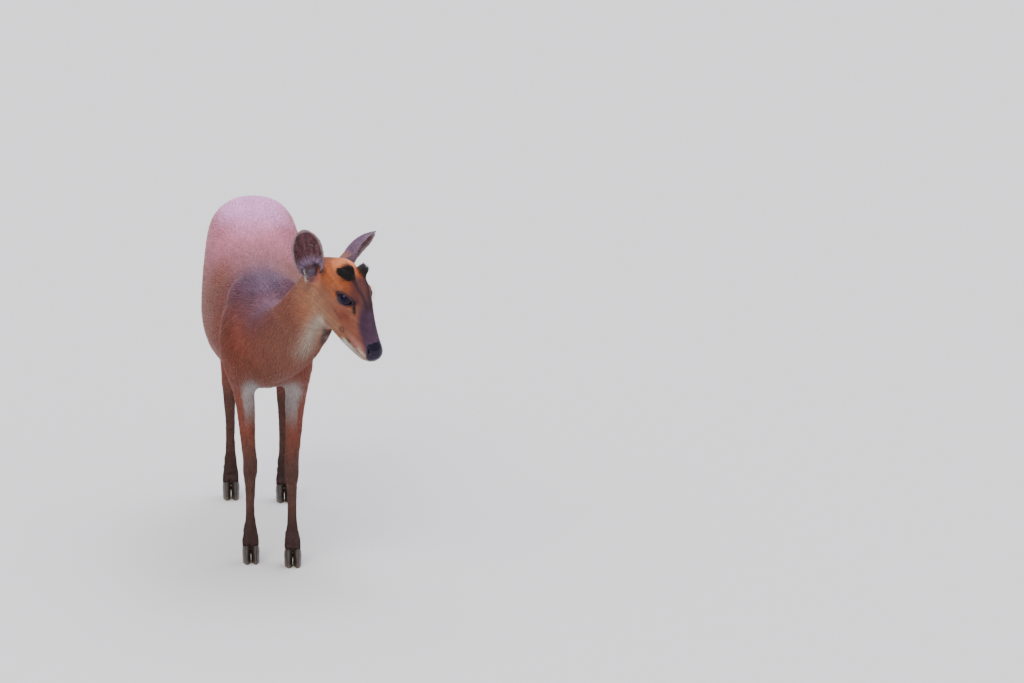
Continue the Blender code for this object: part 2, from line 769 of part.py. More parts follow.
def knob_locks(collection):
    """The dark tufts that lean back and outwards from the two bony knobs."""
    rng = random.Random(SEED)
    frame = head_frame()
    turn = frame.to_3x3().normalized()
    made = []
    for side in (-1, 1):
        knob = mirrored(KNOB_PLACE, side)
        for i in range(12):
            outer = i < 8
            angle = math.radians((-110 + 32 * i) if outer else (-60 + 50 * (i - 8)))
            fan = Vector((math.cos(angle), math.sin(angle) * side, 0))
            spread_out = 0.42 if outer else 0.20
            root = knob + Vector((fan.x * 0.0055 - 0.003, fan.y * 0.0045, 0.0020 if outer else 0.0050))
            aim = Vector((0.60, 0.55, 0.20) if side > 0 else (0.42, -0.80, 0.20))
            along = (aim + fan * spread_out).normalized()
            length = 0.0150 + rng.uniform(-0.002, 0.002)
            made.append(lock(frame @ root, turn @ along, turn @ (Vector((0, 0, 1)) + fan * 0.3), length,
                             0.0090, 0.0030, -0.08, rng.uniform(-0.10, 0.10), collection))
    return made


def tail_locks(collection):
    """The long hair of the tail, in rows that overlap down its back and along its edges."""
    rng = random.Random(SEED + 1)
    rows = tail_rows(4)
    made = []
    levels = range(9, len(rows) - 1, 4)
    for row, at in enumerate(levels):
        place, along, outward, wide, deep = rows[at]
        for column in (-1.0, -0.5, 0.0, 0.5, 1.0):
            share = column + (0.25 if row % 2 else -0.25) * (abs(column) < 0.9)
            across = Vector((1, 0, 0))
            root = place + across * wide * share * 0.82 + outward * deep * (0.55 - 0.45 * share * share)
            lean = along + across * share * 0.20
            length = 0.048 + rng.uniform(-0.004, 0.004)
            made.append(lock(root - lean.normalized() * 0.004, lean, outward + across * share * 0.5, length,
                             0.0125, 0.0036, 0.05, rng.uniform(-0.08, 0.08), collection))
    return made


# The face


def surface_of(item):
    """A tree for casting rays at a mesh."""
    made = bmesh.new()
    made.from_mesh(item.data)
    tree = BVHTree.FromBMesh(made)
    made.free()
    return tree


def touch(tree, frame, start, towards):
    """Where a ray cast in the head's frame meets the skin, in that frame."""
    begin = frame @ Vector(start)
    way = (frame @ Vector(towards)) - begin
    hit = tree.ray_cast(begin, way.normalized())[0]
    return frame.inverted() @ hit if hit is not None else Vector(towards)


def eye_matrix(side):
    """An eye's frame on the head: first axis along the lids to the front corner, third axis outwards."""
    look = mirrored(EYE_LOOK, side).normalized()
    front = Vector((-math.cos(EYE_TILT), 0, math.sin(EYE_TILT)))
    front = (front - look * front.dot(look)).normalized()
    up = look.cross(front)
    turn = Matrix((front, up, look)).transposed().to_4x4()
    return Matrix.Translation(mirrored(EYE_PLACE, side)) @ turn


def almond(share):
    """A point of the lids' opening, share 0 to 1 round it from the front corner."""
    angle = 2 * math.pi * share
    x = EYE_OPENING[0] * math.copysign(abs(math.cos(angle)) ** 0.92, math.cos(angle))
    y = EYE_OPENING[1] * math.sin(angle) * (1 - 0.30 * abs(math.cos(angle)) ** 3)
    return x, y


def eye_parts(collection):
    """For each side: the eyeball, and the rims, socket and opening with which the head is carved."""
    frame = head_frame()
    balls, rims, sockets, openings = [], [], [], []
    for side, label in ((1, "left"), (-1, "right")):
        eye = frame @ eye_matrix(side)
        ball = ellipsoid("eye_" + label, (0, 0, 0), (EYE_RADIUS,) * 3, eye, collection, 9)
        balls.append(ball)
        reach = (EYE_RADIUS + GAP,) * 3
        sockets.append(ellipsoid("socket", (0, 0, 0), reach, eye, collection, 9))
        rings = []
        for height in (0.004, 0.030):
            rings.append([eye @ Vector((*almond(i / 24), height)) for i in range(24)])
        openings.append(loft("opening", rings, collection))
        line = []
        for i in range(25):
            x, y = almond(i / 24)
            x, y = x * 1.04, y * 1.06
            z = math.sqrt(max(1e-8, (EYE_RADIUS + 0.0009) ** 2 - x * x - y * y))
            line.append((x, y, max(z, 0.0035)))
        made = bmesh.new()
        rows = []
        for i in range(24):
            here, before, after = Vector(line[i]), Vector(line[i - 1]), Vector(line[(i + 1) % 24])
            along = (after - before).normalized()
            out = Vector((here.x, here.y, here.z)).normalized()
            across = along.cross(out).normalized()
            ring = ring_of(here, across, out, LID_RADIUS, LID_RADIUS, LID_RADIUS, 2.0, 6)
            rows.append([made.verts.new(eye @ p) for p in ring])
        for i in range(24):
            a, b = rows[i], rows[(i + 1) % 24]
            for k in range(6):
                m = (k + 1) % 6
                made.faces.new((a[k], a[m], b[m], b[k]))
        made.normal_update()
        bmesh.ops.recalc_face_normals(made, faces=made.faces)
        rims.append(object_from("rim", made, collection))
    return balls, rims, sockets, openings


def mouth_knife(tree, collection):
    """A wedge that runs round the muzzle and cuts the line of the mouth."""
    frame = head_frame()
    rings = []
    turns = 21
    for i in range(turns):
        share = 2 * i / (turns - 1) - 1
        angle = math.radians(136) * share
        lift = MOUTH_FRONT + (MOUTH_CORNER[1] - MOUTH_FRONT) * abs(share) ** 0.8
        lift += 0.0030 * max(0.0, abs(share) - 0.88) / 0.12
        centre = Vector((0.036, 0, lift))
        way = Vector((-math.cos(angle), math.sin(angle), 0))
        skin = touch(tree, frame, centre + way * 0.08, centre)
        depth = 0.0032 * (1 - 0.75 * max(0.0, abs(share) - 0.85) / 0.15)
        out, up = way, Vector((0, 0, 1))
        ring = [skin + out * 0.0022 + up * 0.0008, skin + out * 0.0022 - up * 0.0008,
                skin - out * depth - up * 0.0003, skin - out * depth + up * 0.0003]
        rings.append([frame @ p for p in ring])
    return loft("mouth_knife", rings, collection)


def face_cutters(tree, collection):
    """Mouth, nostrils, the glands below the eyes and the two slits up the forehead."""
    frame = head_frame()
    made = [mouth_knife(tree, collection)]
    for side in (-1, 1):
        for centre, radii, spin, tilt in (
            ((0.0020, 0.0074, -0.0005), (0.0060, 0.0024, 0.0042), 0.35, -0.30),
            ((0.0060, 0.0118, 0.0030), (0.0055, 0.0036, 0.0014), -0.55, 0.15),
        ):
            turn = Matrix.Rotation(spin * side, 4, "Z") @ Matrix.Rotation(tilt * side, 4, "X")
            place = frame @ Matrix.Translation(mirrored(centre, side)) @ turn
            made.append(ellipsoid("nostril", (0, 0, 0), radii, place, collection, 5))
        gland = touch(tree, frame, (0.0800, 0.08 * side, 0.0285), (0.0800, 0, 0.0285))
        rim = touch(tree, frame, (0.0705, 0.08 * side, 0.0235), (0.0705, 0, 0.0235))
        rows = [gland, (gland + rim) / 2, rim]
        made.append(tube("gland", rows, (0.0006, 0.0011, 0.0006), collection, frame, 6))
        slit = []
        for x, y in ((0.074, 0.0046), (0.088, 0.0060), (0.102, 0.0080), (0.114, 0.0096)):
            slit.append(touch(tree, frame, (x, y * side, 0.09), (x, y * side, 0)))
        made.append(tube("slit", slit, (0.0004, 0.0008, 0.0008, 0.0004), collection, frame, 6))
    return made


def build_ear(root, side, collection):
    """An ear: a rolled cup on its root, thin at the rim."""
    frame = head_frame()
    along, facing, across = ear_axes(side)
    behind, bow = (0.0205, 0.0090) if side > 0 else (0.0095, 0.0060)
    base = mirrored(EAR_PLACE, side) + along * (EAR_SEAM + 0.0012) - facing * behind
    profile = spread((
        (0.00, 0.56, 2.35), (0.12, 0.78, 1.95), (0.26, 0.94, 1.52), (0.42, 1.02, 1.30), (0.56, 1.02, 1.18),
        (0.70, 0.95, 1.05), (0.82, 0.80, 0.97), (0.91, 0.59, 0.88), (0.97, 0.35, 0.82), (1.00, 0.13, 0.75),
    ), 1)
    made = bmesh.new()
    columns = 8
    grids = []
    for layer in (0, 1):
        grid = []
        for far, wide, roll in profile:
            half = EAR_HALF_WIDTH * wide
            radius = half / math.sin(min(roll, math.pi / 2)) - layer * EAR_THICKNESS
            lean = bow * math.sin(math.pi * far)
            row = []
            for i in range(columns + 1):
                angle = roll * (2 * i / columns - 1)
                thin = EAR_THICKNESS * layer
                place = base + along * (EAR_LENGTH * far - thin * (far > 0.99))
                place = place + across * radius * math.sin(angle)
                place = place + facing * (radius * (1 - math.cos(angle)) + thin - lean)
                row.append(made.verts.new(frame @ place))
            grid.append(row)
        grids.append(grid)
    outer, inner = grids
    count = len(outer)
    for i in range(count - 1):
        for k in range(columns):
            made.faces.new((outer[i][k], outer[i][k + 1], outer[i + 1][k + 1], outer[i + 1][k]))
            made.faces.new((inner[i][k], inner[i + 1][k], inner[i + 1][k + 1], inner[i][k + 1]))
        for k in (0, columns):
            made.faces.new((outer[i][k], outer[i + 1][k], inner[i + 1][k], inner[i][k]))
    for i in (0, count - 1):
        for k in range(columns):
            made.faces.new((outer[i][k], outer[i][k + 1], inner[i][k + 1], inner[i][k]))
    bmesh.ops.triangulate(made, faces=made.faces)
    made.normal_update()
    bmesh.ops.recalc_face_normals(made, faces=made.faces)
    cup = object_from("cup", made, collection)
    combine(root, [cup], "UNION")
    keep_largest(root)


def clear_of(item, neighbour, collection, gap=GAP):
    """Cuts a piece back from a neighbour's surface by the gap."""
    skin = bpy.data.objects.new("skin", neighbour.data.copy())
    collection.objects.link(skin)
    normals = [vertex.normal.copy() for vertex in skin.data.vertices]
    for vertex, normal in zip(skin.data.vertices, normals):
        vertex.co += normal * gap
    combine(item, [skin], "DIFFERENCE")
    keep_largest(item)


# Hooves and dewclaws


def build_hooves(plan, collection):
    """The two hooves of a foot, each on a flat sole."""
    rows = ((0.0, 0.0216, 0.0064, 0.0180), (0.40, 0.0198, 0.0069, 0.0162), (1.0, 0.0167, 0.0069, 0.0126))
    made = []
    for toe in (-1, 1):
        inner = (toe * plan.side) < 0
        place = plan.foot() + Vector((TOE_SPACING * toe, 0, 0))
        rings = []
        for share, reach, wide, deep in rows:
            ring = []
            for i in range(16):
                angle = 2 * math.pi * i / 16
                c, s = math.cos(angle), math.sin(angle)
                narrow = 1 - 0.42 * max(0.0, s) ** 2
                x, ahead = wide * c * narrow, reach + deep * s
                top = CORONET_HEIGHT + CORONET_SLOPE * (ahead - FOOT_REACH) - GAP
                ring.append(place + Vector((x, -ahead, share * top)))
            rings.append(ring)
        name = "hoof_" + plan.name + ("_inner" if inner else "_outer")
        made.append(loft(name, rings, collection))
    return made


def build_dewclaws(plan, leg, collection):
    """The two small claws behind a foot, clear of the skin by the gap."""
    made = []
    for toe in (-1, 1):
        inner = (toe * plan.side) < 0
        top = plan.foot() + Vector((0.0076 * toe, 0.0062, DEWCLAW_HEIGHT + 0.002))
        down = Vector((0.0004 * toe, 0.0050, -0.0135))
        rings = []
        for share, wide in ((0.0, 0.0034), (0.25, 0.0042), (0.6, 0.0038), (0.88, 0.0025), (1.0, 0.0010)):
            rings.append(ring_of(top + down * share, Vector((1, 0, 0)), Vector((0, 1, 0.3)).normalized(),
                                 wide, wide * 1.15, wide * 1.15, 2.0, 8))
        name = "dewclaw_" + plan.name + ("_inner" if inner else "_outer")
        claw = loft(name, rings, collection)
        clear_of(claw, leg, collection)
        made.append(claw)
    return made


def recentre(items):
    """Moves the model so that its bounding box stands centred on the origin, on the floor."""
    points = np.array([item.matrix_world @ v.co for item in items for v in item.data.vertices])
    low, high = points.min(axis=0), points.max(axis=0)
    shift = Vector((-(low[0] + high[0]) / 2, -(low[1] + high[1]) / 2, -low[2]))
    for item in items:
        item.data.transform(Matrix.Translation(shift))


def main():
    """Builds the muntjac."""
    clear_scene()
    body = new_collection("muntjac")
    coat = new_material("chestnut_coat", (0.33, 0.13, 0.06), 0.6)
    face = new_material("rufous_face", (0.42, 0.15, 0.055), 0.55)
    leg_coat = new_material("dusky_leg_coat", (0.16, 0.085, 0.07), 0.6)
    tail_coat = new_material("tail_hair", (0.30, 0.11, 0.05), 0.7)
    ear_skin = new_material("ear_hair", (0.15, 0.085, 0.085), 0.6)
    wet_eye = new_material("wet_eye", (0.012, 0.012, 0.02), 0.05)
    horn = new_material("hoof_horn", (0.03, 0.025, 0.022), 0.35)
    pieces = [build_trunk(body), build_neck(body), build_tail_core(body)]
    for plan in LEGS:
        pieces += build_leg(plan, body)
    pieces += build_head(body)
    pieces += build_muscles(body)
    flesh = fuse(pieces)
    soften(flesh)
    thin_out(flesh)
    parts = part_flesh(flesh, body)
    head = parts["head"]
    tree = surface_of(head)
    cutters = face_cutters(tree, body)
    balls, rims, sockets, openings = eye_parts(body)
    combine(head, rims, "UNION", "MANIFOLD")
    combine(head, sockets + openings + cutters, "DIFFERENCE", "MANIFOLD")
    keep_largest(head)
    combine(head, knob_locks(body), "UNION", "MANIFOLD")
    keep_largest(head)
    combine(parts["tail"], tail_locks(body), "UNION")
    keep_largest(parts["tail"])
    clear_of(parts["tail"], parts["torso"], body, GAP * 0.85)
    for side, label in ((1, "left"), (-1, "right")):
        build_ear(parts["ear_" + label], side, body)
        clear_of(parts["ear_" + label], head, body, GAP * 0.85)
    hooves, claws = [], []
    for plan in LEGS:
        hooves += build_hooves(plan, body)
        claws += build_dewclaws(plan, parts["lower_leg_" + plan.name], body)
    finishes = {"head": face, "tail": tail_coat, "ear_left": ear_skin, "ear_right": ear_skin}
    for name, item in parts.items():
        finish = leg_coat if name.startswith("lower_leg") else finishes.get(name, coat)
        item.data.materials.clear()
        item.data.materials.append(finish)
    for item in balls:
        item.data.materials.append(wet_eye)
    for item in hooves + claws:
        item.data.materials.append(horn)
    everything = list(parts.values()) + balls + hooves + claws
    for item in everything:
        item.data.shade_smooth()
        item.data.set_sharp_from_angle(angle=math.radians(40))
    recentre(everything)


main()
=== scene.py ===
"""A standing female red muntjac, dressed: one skin, a coat of short tufts, wet eyes, hooves and a studio.

Places on the body and on the head are written as the animal was designed, in metres, and HeadPose says
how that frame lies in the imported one. Directions: -Y is forwards, +X the animal's left, +Z up.
"""

import logging
import math
from dataclasses import dataclass, field, fields
from enum import Enum
from typing import Callable, Sequence

import bmesh
import bpy
import numpy as np
from mathutils import Matrix, Vector
from mathutils.bvhtree import BVHTree


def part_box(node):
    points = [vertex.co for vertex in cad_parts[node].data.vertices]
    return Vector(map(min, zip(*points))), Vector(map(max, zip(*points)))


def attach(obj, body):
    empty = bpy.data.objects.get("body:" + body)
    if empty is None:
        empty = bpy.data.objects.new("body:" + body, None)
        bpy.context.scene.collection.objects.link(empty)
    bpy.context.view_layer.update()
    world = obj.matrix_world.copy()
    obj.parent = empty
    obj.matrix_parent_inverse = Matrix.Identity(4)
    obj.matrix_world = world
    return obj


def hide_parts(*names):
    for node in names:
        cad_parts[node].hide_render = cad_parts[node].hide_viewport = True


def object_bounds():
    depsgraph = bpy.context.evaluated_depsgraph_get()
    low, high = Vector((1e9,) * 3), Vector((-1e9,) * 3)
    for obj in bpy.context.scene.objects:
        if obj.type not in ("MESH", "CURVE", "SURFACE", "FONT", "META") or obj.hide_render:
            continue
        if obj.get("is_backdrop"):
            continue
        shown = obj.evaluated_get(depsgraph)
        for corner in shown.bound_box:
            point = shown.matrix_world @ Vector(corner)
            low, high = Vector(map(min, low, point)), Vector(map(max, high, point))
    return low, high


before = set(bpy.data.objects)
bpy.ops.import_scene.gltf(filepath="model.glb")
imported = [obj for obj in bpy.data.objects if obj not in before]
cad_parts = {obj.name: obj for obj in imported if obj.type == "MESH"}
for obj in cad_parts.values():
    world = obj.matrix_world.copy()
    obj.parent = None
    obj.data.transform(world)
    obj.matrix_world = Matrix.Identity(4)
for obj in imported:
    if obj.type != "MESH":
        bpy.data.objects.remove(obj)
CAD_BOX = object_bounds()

logging.basicConfig(level=logging.INFO, format="%(message)s")
log = logging.getLogger("muntjac")

Array = np.ndarray
Point = tuple[float, float, float]
SEED = 11
MM = 0.001


# Colours


def channel(value: float) -> float:
    """One sRGB channel, 0 to 1, as linear light."""
    return value / 12.92 if value <= 0.04045 else ((value + 0.055) / 1.055) ** 2.4


def linear(code: str) -> Array:
    """A colour written as sRGB hex, as linear light."""
    code = code.lstrip("#")
    return np.array([channel(int(code[i:i + 2], 16) / 255) for i in (0, 2, 4)])


def opaque(code: str) -> tuple[float, ...]:
    """A colour written as sRGB hex, as the four numbers that a shader takes."""
    return (*linear(code), 1.0)


class Tone(Enum):
    """The colours of the coat and of the bare skin, some of them with painted sheen, highlight or shade."""

    CHESTNUT = "#8C4A38"
    SHOULDER = "#7E3B29"
    # The next four tones, of rump, rump top, back and withers, are partly the coat's own reddish brown and
    # partly painted sheen: the pink and lilac of the sky's reflection on glossy hair
    RUMP = "#D47F93"
    RUMP_TOP = "#FFBAEE"
    BACK = "#B06F78"
    WITHERS_SHEEN = "#6E4E64"
    NECK = "#875A46"
    THROAT = "#B5A898"
    WHITE = "#E2DAD0"
    BELLY = "#CFB79C"
    BREAST = "#75452C"
    INNER_LEG = "#A39894"
    SHANK = "#5B3C30"
    PASTERN = "#3B2823"
    FOREHEAD = "#C2652A"
    CHEEK = "#A4684E"
    BRIDGE = "#4A3149"
    STRIPE = "#1E1517"
    BAND = "#3E262E"
    RUST = "#8E4836"
    TUFT = "#15100F"
    BROW = "#5A3436"
    # The crown's rufous, lightened to peach by painted highlight from above
    CROWN = "#F69A60"
    LIP = "#BE8680"
    TAN = "#B08466"
    RIM = "#2C1E30"
    NOSE = "#15111E"
    EAR_CUP = "#5E343B"
    EAR_LOW = "#957A98"
    EAR_DEEP = "#46363F"
    EAR_BACK = "#6C5068"
    EAR_HAIR = "#CBBEB4"
    EAR_EDGE = "#B7A3A8"
    TAIL = "#8C4A2B"
    # Near black for the mouth's slit and the nostrils: painted shade of these hollows
    MOUTH_SHADE = "#1A1213"


def step(low: float, high: float, value: Array) -> Array:
    """A smooth ramp from 0 at low to 1 at high, either way round."""
    share = np.clip((value - low) / (high - low), 0.0, 1.0)
    return share * share * (3 - 2 * share)


def blob(points: Array, centre: Point, radii: Point) -> Array:
    """A soft ball of influence: 1 at its centre, falling to about 0.02 at twice its radii."""
    return np.exp(-(((points - np.array(centre)) / np.array(radii)) ** 2).sum(axis=1))


def mixed(colours: Array, tone: Tone, amount: Array) -> Array:
    """Colours moved towards a tone by an amount for each place."""
    share = np.clip(amount, 0, 1).reshape(-1, 1)
    return colours * (1 - share) + linear(tone.value) * share


def bell(distance: Array, width: float) -> Array:
    """A soft line or ring: 1 where the distance is 0, falling to about 0.37 at its width."""
    return np.exp(-((distance / width) ** 2))


def off_line(points: Array, start: Point, end: Point) -> Array:
    """How far places lie from a straight line between two places."""
    first, way = np.array(start), np.array(end) - np.array(start)
    share = np.clip((points - first) @ way / (way @ way), 0, 1)
    return np.linalg.norm(points - first - share[:, None] * way, axis=1)


def unit(vectors: Array) -> Array:
    """Vectors of length one."""
    return vectors / np.maximum(np.linalg.norm(vectors, axis=-1, keepdims=True), 1e-9)


def mottle(points: Array, size: float, seed: int = 0) -> Array:
    """A smooth uneven pattern between -1 and 1, with patches of about that size."""
    rng = np.random.default_rng(seed)
    total = np.zeros(len(points))
    for _ in range(5):
        way = rng.normal(size=3)
        way *= 2 * math.pi / (size * 2.2) / np.linalg.norm(way) * rng.uniform(0.7, 1.5)
        total += np.sin(points @ way + rng.uniform(0, 6.28))
    return total / 5


# Where the head and body are


@dataclass(frozen=True)
class HeadPose:
    """How the head is set: its own frame runs back from the nose tip, to its left and up."""

    size: float = 1.03
    nose_tip: Point = (0.1770, -0.3900, 0.4060)
    yaw: float = math.radians(42)
    pitch: float = math.radians(43)
    roll: float = math.radians(-4)
    eye_place: Point = (0.1015, 0.0212, 0.0292)
    ear_place: Point = (0.1630, 0.0344, 0.0055)
    ear_seam: float = 0.0148
    left_ear: tuple[Point, Point] = ((0.195, 0.872, 0.458), (-0.952, 0.269, 0.150))
    right_ear: tuple[Point, Point] = ((0.48, -0.42, 0.72), (-0.315, -0.70, 0.64))
    knob_place: Point = (0.1265, 0.0142, 0.0582)

    def turn(self) -> Matrix:
        """The rotation from the head's frame to the body's."""
        ahead = Vector((math.sin(self.yaw) * math.cos(self.pitch),
                        -math.cos(self.yaw) * math.cos(self.pitch), -math.sin(self.pitch)))
        level_left = Vector((0, 0, 1)).cross(ahead).normalized()
        level_up = ahead.cross(level_left)
        left = level_left * math.cos(self.roll) + level_up * math.sin(self.roll)
        up = level_up * math.cos(self.roll) - level_left * math.sin(self.roll)
        return Matrix((-ahead, left, up)).transposed()

    def shift(self) -> Vector:
        """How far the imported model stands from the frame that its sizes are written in."""
        corners = [corner for side in ("left", "right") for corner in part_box("eye_" + side)]
        middle = sum(corners, Vector()) / 4
        between = Vector((self.eye_place[0], 0, self.eye_place[2])) * self.size
        return middle - self.turn() @ between - Vector(self.nose_tip)

    def matrix(self) -> Matrix:
        """From the head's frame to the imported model's."""
        place = Matrix.Translation(Vector(self.nose_tip) + self.shift())
        return place @ self.turn().to_4x4() @ Matrix.Scale(self.size, 4)

    def ear_axes(self, side: int) -> tuple[Vector, Vector, Vector]:
        """An ear's direction, the way its cup faces and the way across it, on the head."""
        along, facing = (Vector(way).normalized() for way in (self.left_ear if side > 0 else self.right_ear))
        facing = (facing - along * facing.dot(along)).normalized()
        return along, facing, along.cross(facing)


HEAD = HeadPose()
SHIFT = np.array(HEAD.shift())
HEAD_MATRIX = HEAD.matrix()
HEAD_TURN = np.array(HEAD.turn())
HEAD_ORIGIN = np.array(HEAD_MATRIX.translation)
SIDES = ((1, "left"), (-1, "right"))


def on_body(points: Array) -> Array:
    """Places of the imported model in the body's design frame."""
    return points - SHIFT


def on_head(points: Array) -> Array:
    """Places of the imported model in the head's own frame."""
    return (points - HEAD_ORIGIN) @ HEAD_TURN / HEAD.size


def off_head(h: Array) -> Array:
    """Places of the head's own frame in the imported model."""
    return h @ HEAD_TURN.T * HEAD.size + HEAD_ORIGIN


def nose_pad(h: Array) -> Array:
    """How much places of the head's frame are on the bare, wet pad of the nose."""
    back = np.interp(h[:, 2], (-0.012, -0.0043, 0.0038, 0.0109, 0.0173),
                     (0.0075, 0.0128, 0.0198, 0.0212, 0.0187))
    return step(0.0013, -0.0013, h[:, 0] - back) * step(-0.0118, -0.0088, h[:, 2] + 0.10 * h[:, 0])


# The tail's line on the body: how far back, how high, and its half width and half depth there
TAIL_LINE = np.array((
    (0.245, 0.486, 0.0170, 0.0150), (0.276, 0.478, 0.0170, 0.0140), (0.300, 0.457, 0.0185, 0.0115),
    (0.3095, 0.428, 0.0205, 0.0085), (0.3090, 0.392, 0.0205, 0.0075), (0.3030, 0.352, 0.0150, 0.0060),
    (0.2990, 0.330, 0.0080, 0.0040),
))


def tail_at(height: Array) -> Array:
    """The tail's line at heights on the body: how far back, its half width and half depth, and its slope."""
    back, high = TAIL_LINE[::-1, 0], TAIL_LINE[::-1, 1]
    rows = [np.interp(height, high, TAIL_LINE[::-1, k]) for k in (0, 2, 3)]
    slope = (np.interp(height + 0.004, high, back) - np.interp(height - 0.004, high, back)) / 0.008
    return np.stack(rows + [slope], axis=1)


def on_tail(p: Array) -> Array:
    """Whether places of the body's frame are on the tail."""
    line = tail_at(p[:, 2])
    return ((p[:, 2] > 0.318) & (p[:, 2] < 0.476) & (np.abs(p[:, 0]) < line[:, 1] + 0.002)
            & (p[:, 1] > np.maximum(line[:, 0] - line[:, 2] - 0.001, 0.268)))


def mirrored(place: Sequence[float], side: int) -> Vector:
    """A place on the head, on the left for side 1 and on the right for side -1."""
    return Vector((place[0], place[1] * side, place[2]))


@dataclass(frozen=True)
class EyeShape:
    """The eyeball and the opening of its lids, in the eye's frame: to the front corner, up, outwards."""

    radius: float = 0.0138
    look: Point = (-0.20, 0.93, 0.27)
    opening: tuple[float, float] = (0.0142, 0.0074)
    back_share: float = 0.86
    tilt: float = math.radians(17)
    gland: tuple[Point, Point] = ((0.0848, 0.0236, 0.0372), (0.0716, 0.0226, 0.0270))

    def matrix(self, side: int) -> Matrix:
        """From an eye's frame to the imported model's."""
        look = mirrored(self.look, side).normalized()
        front = Vector((-math.cos(self.tilt), 0, math.sin(self.tilt)))
        front = (front - look * front.dot(look)).normalized()
        turn = Matrix((front, look.cross(front), look)).transposed().to_4x4()
        return HEAD_MATRIX @ Matrix.Translation(mirrored(HEAD.eye_place, side)) @ turn

    def upwards(self, side: int) -> int:
        """Whether the frame's second axis points up on the head or down."""
        return 1 if (self.matrix(side).to_3x3() @ Vector((0, 1, 0))).z > 0 else -1

    def outline(self, share: float) -> tuple[float, float]:
        """A point of the lids' opening, share 0 to 1 round it from the front corner."""
        angle = 2 * math.pi * share
        x = self.opening[0] * math.copysign(abs(math.cos(angle)) ** 0.92, math.cos(angle))
        x = x if x > 0 else x * self.back_share
        return x, self.opening[1] * math.sin(angle) * (1 - 0.30 * abs(math.cos(angle)) ** 3)

    def off_gland(self, points: Array) -> Array:
        """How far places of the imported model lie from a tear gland's slit, below an eye's front corner."""
        flat = on_head(points) * (1, 0, 1)
        start, end = (np.array(place) * (1, 0, 1) for place in self.gland)
        return np.where(np.abs(on_head(points)[:, 1]) > 0.014, off_line(flat, start, end), 1.0)

    def spread(self, local: Array) -> Array:
        """How far out a place lies in the opening's plane: 1 on the lids' edge."""
        x = local[:, 0] / self.opening[0] / np.where(local[:, 0] > 0, 1, self.back_share)
        narrow = 1 - 0.30 * np.clip(np.abs(x), 0, 1) ** 3
        return np.sqrt(x ** 2 + (local[:, 1] / (self.opening[1] * narrow)) ** 2)


EYE = EyeShape()


def in_eye(points: Array, side: int) -> Array:
    """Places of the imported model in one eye's frame, in its unscaled metres."""
    back = np.array(EYE.matrix(side).inverted())
    return points @ back[:3, :3].T + back[:3, 3]


def before_eye(local: Array, reach: float) -> Array:
    """Whether places of an eye's frame are before the ball's middle and within reach of it."""
    return (local[:, 2] > 0) & (np.linalg.norm(local, axis=1) < reach)


def off_eye(h: Array, side: int) -> Array:
    """How far places of the head's frame are from the middle of an eye."""
    return np.linalg.norm(h - np.array(mirrored(HEAD.eye_place, side)), axis=1)


# Meshes from arrays and nodes


def linked(name: str, data: bpy.types.ID) -> bpy.types.Object:
    """A new object of that data, in the scene."""
    item = bpy.data.objects.new(name, data)
    bpy.context.scene.collection.objects.link(item)
    return item


def triangle_object(name: str, points: Array, faces: Array) -> bpy.types.Object:
    """An object of triangles given as arrays, smooth shaded.

    Args:
        name: The piece's name.
        points: Vertices, one row each.
        faces: Vertex numbers, three a row.

    Returns:
        The object, linked to the scene.
    """
    mesh = bpy.data.meshes.new(name)
    mesh.vertices.add(len(points))
    mesh.vertices.foreach_set("co", points.astype(np.float32).ravel())
    mesh.loops.add(faces.size)
    mesh.polygons.add(len(faces))
    mesh.polygons.foreach_set("loop_start", np.arange(0, faces.size, 3, dtype=np.int32))
    mesh.polygons.foreach_set("vertices", faces.astype(np.int32).ravel())
    mesh.update(calc_edges=True)
    mesh.shade_smooth()
    return linked(name, mesh)


def object_of(name: str, made: bmesh.types.BMesh) -> bpy.types.Object:
    """An object of a bmesh, which is freed."""
    mesh = bpy.data.meshes.new(name)
    made.to_mesh(mesh)
    made.free()
    return linked(name, mesh)


def settle(item: bpy.types.Object) -> None:
    """Applies an object's modifiers to its mesh."""
    graph = bpy.context.evaluated_depsgraph_get()
    mesh = bpy.data.meshes.new_from_object(item.evaluated_get(graph))
    item.modifiers.clear()
    item.data = mesh


def node_copy(name: str, grown: float = 0.0) -> bmesh.types.BMesh:
    """A CAD node's mesh with its loose triangles merged, grown outwards a little.

    Args:
        name: The node.
        grown: How far each vertex moves along its normal, in metres.

    Returns:
        The mesh, closed.
    """
    made = bmesh.new()
    made.from_mesh(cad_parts[name].data)
    bmesh.ops.remove_doubles(made, verts=made.verts, dist=1e-6)
    made.normal_update()
    for vertex in made.verts:
        vertex.co += vertex.normal * grown
    return made


def remeshed(name: str, pieces: list[bmesh.types.BMesh], voxel: float) -> bpy.types.Object:
    """One closed mesh of pieces that overlap, by a voxel remesh.

    Args:
        name: The new object's name.
        pieces: Closed meshes, which are freed.
        voxel: The remesh's voxel size in metres.

    Returns:
        The object, of quads.
    """
    whole = bmesh.new()
    for piece in pieces:
        held = bpy.data.meshes.new("held")
        piece.to_mesh(held)
        piece.free()
        whole.from_mesh(held)
        bpy.data.meshes.remove(held)
    item = object_of(name, whole)
    modifier = item.modifiers.new("fuse", "REMESH")
    modifier.mode = "VOXEL"
    modifier.voxel_size = voxel
    settle(item)
    return item


def coordinates(mesh: bpy.types.Mesh) -> Array:
    """A mesh's vertices as an array."""
    found = np.zeros(len(mesh.vertices) * 3, np.float32)
    mesh.vertices.foreach_get("co", found)
    return found.reshape(-1, 3).astype(float)


def normals_of(mesh: bpy.types.Mesh) -> Array:
    """A mesh's vertex normals as an array."""
    found = np.zeros(len(mesh.vertices) * 3, np.float32)
    mesh.vertex_normals.foreach_get("vector", found)
    return found.reshape(-1, 3).astype(float)


def triangles_of(mesh: bpy.types.Mesh) -> Array:
    """A mesh's triangles as vertex numbers."""
    mesh.calc_loop_triangles()
    found = np.zeros(len(mesh.loop_triangles) * 3, np.int32)
    mesh.loop_triangles.foreach_get("vertices", found)
    return found.reshape(-1, 3)


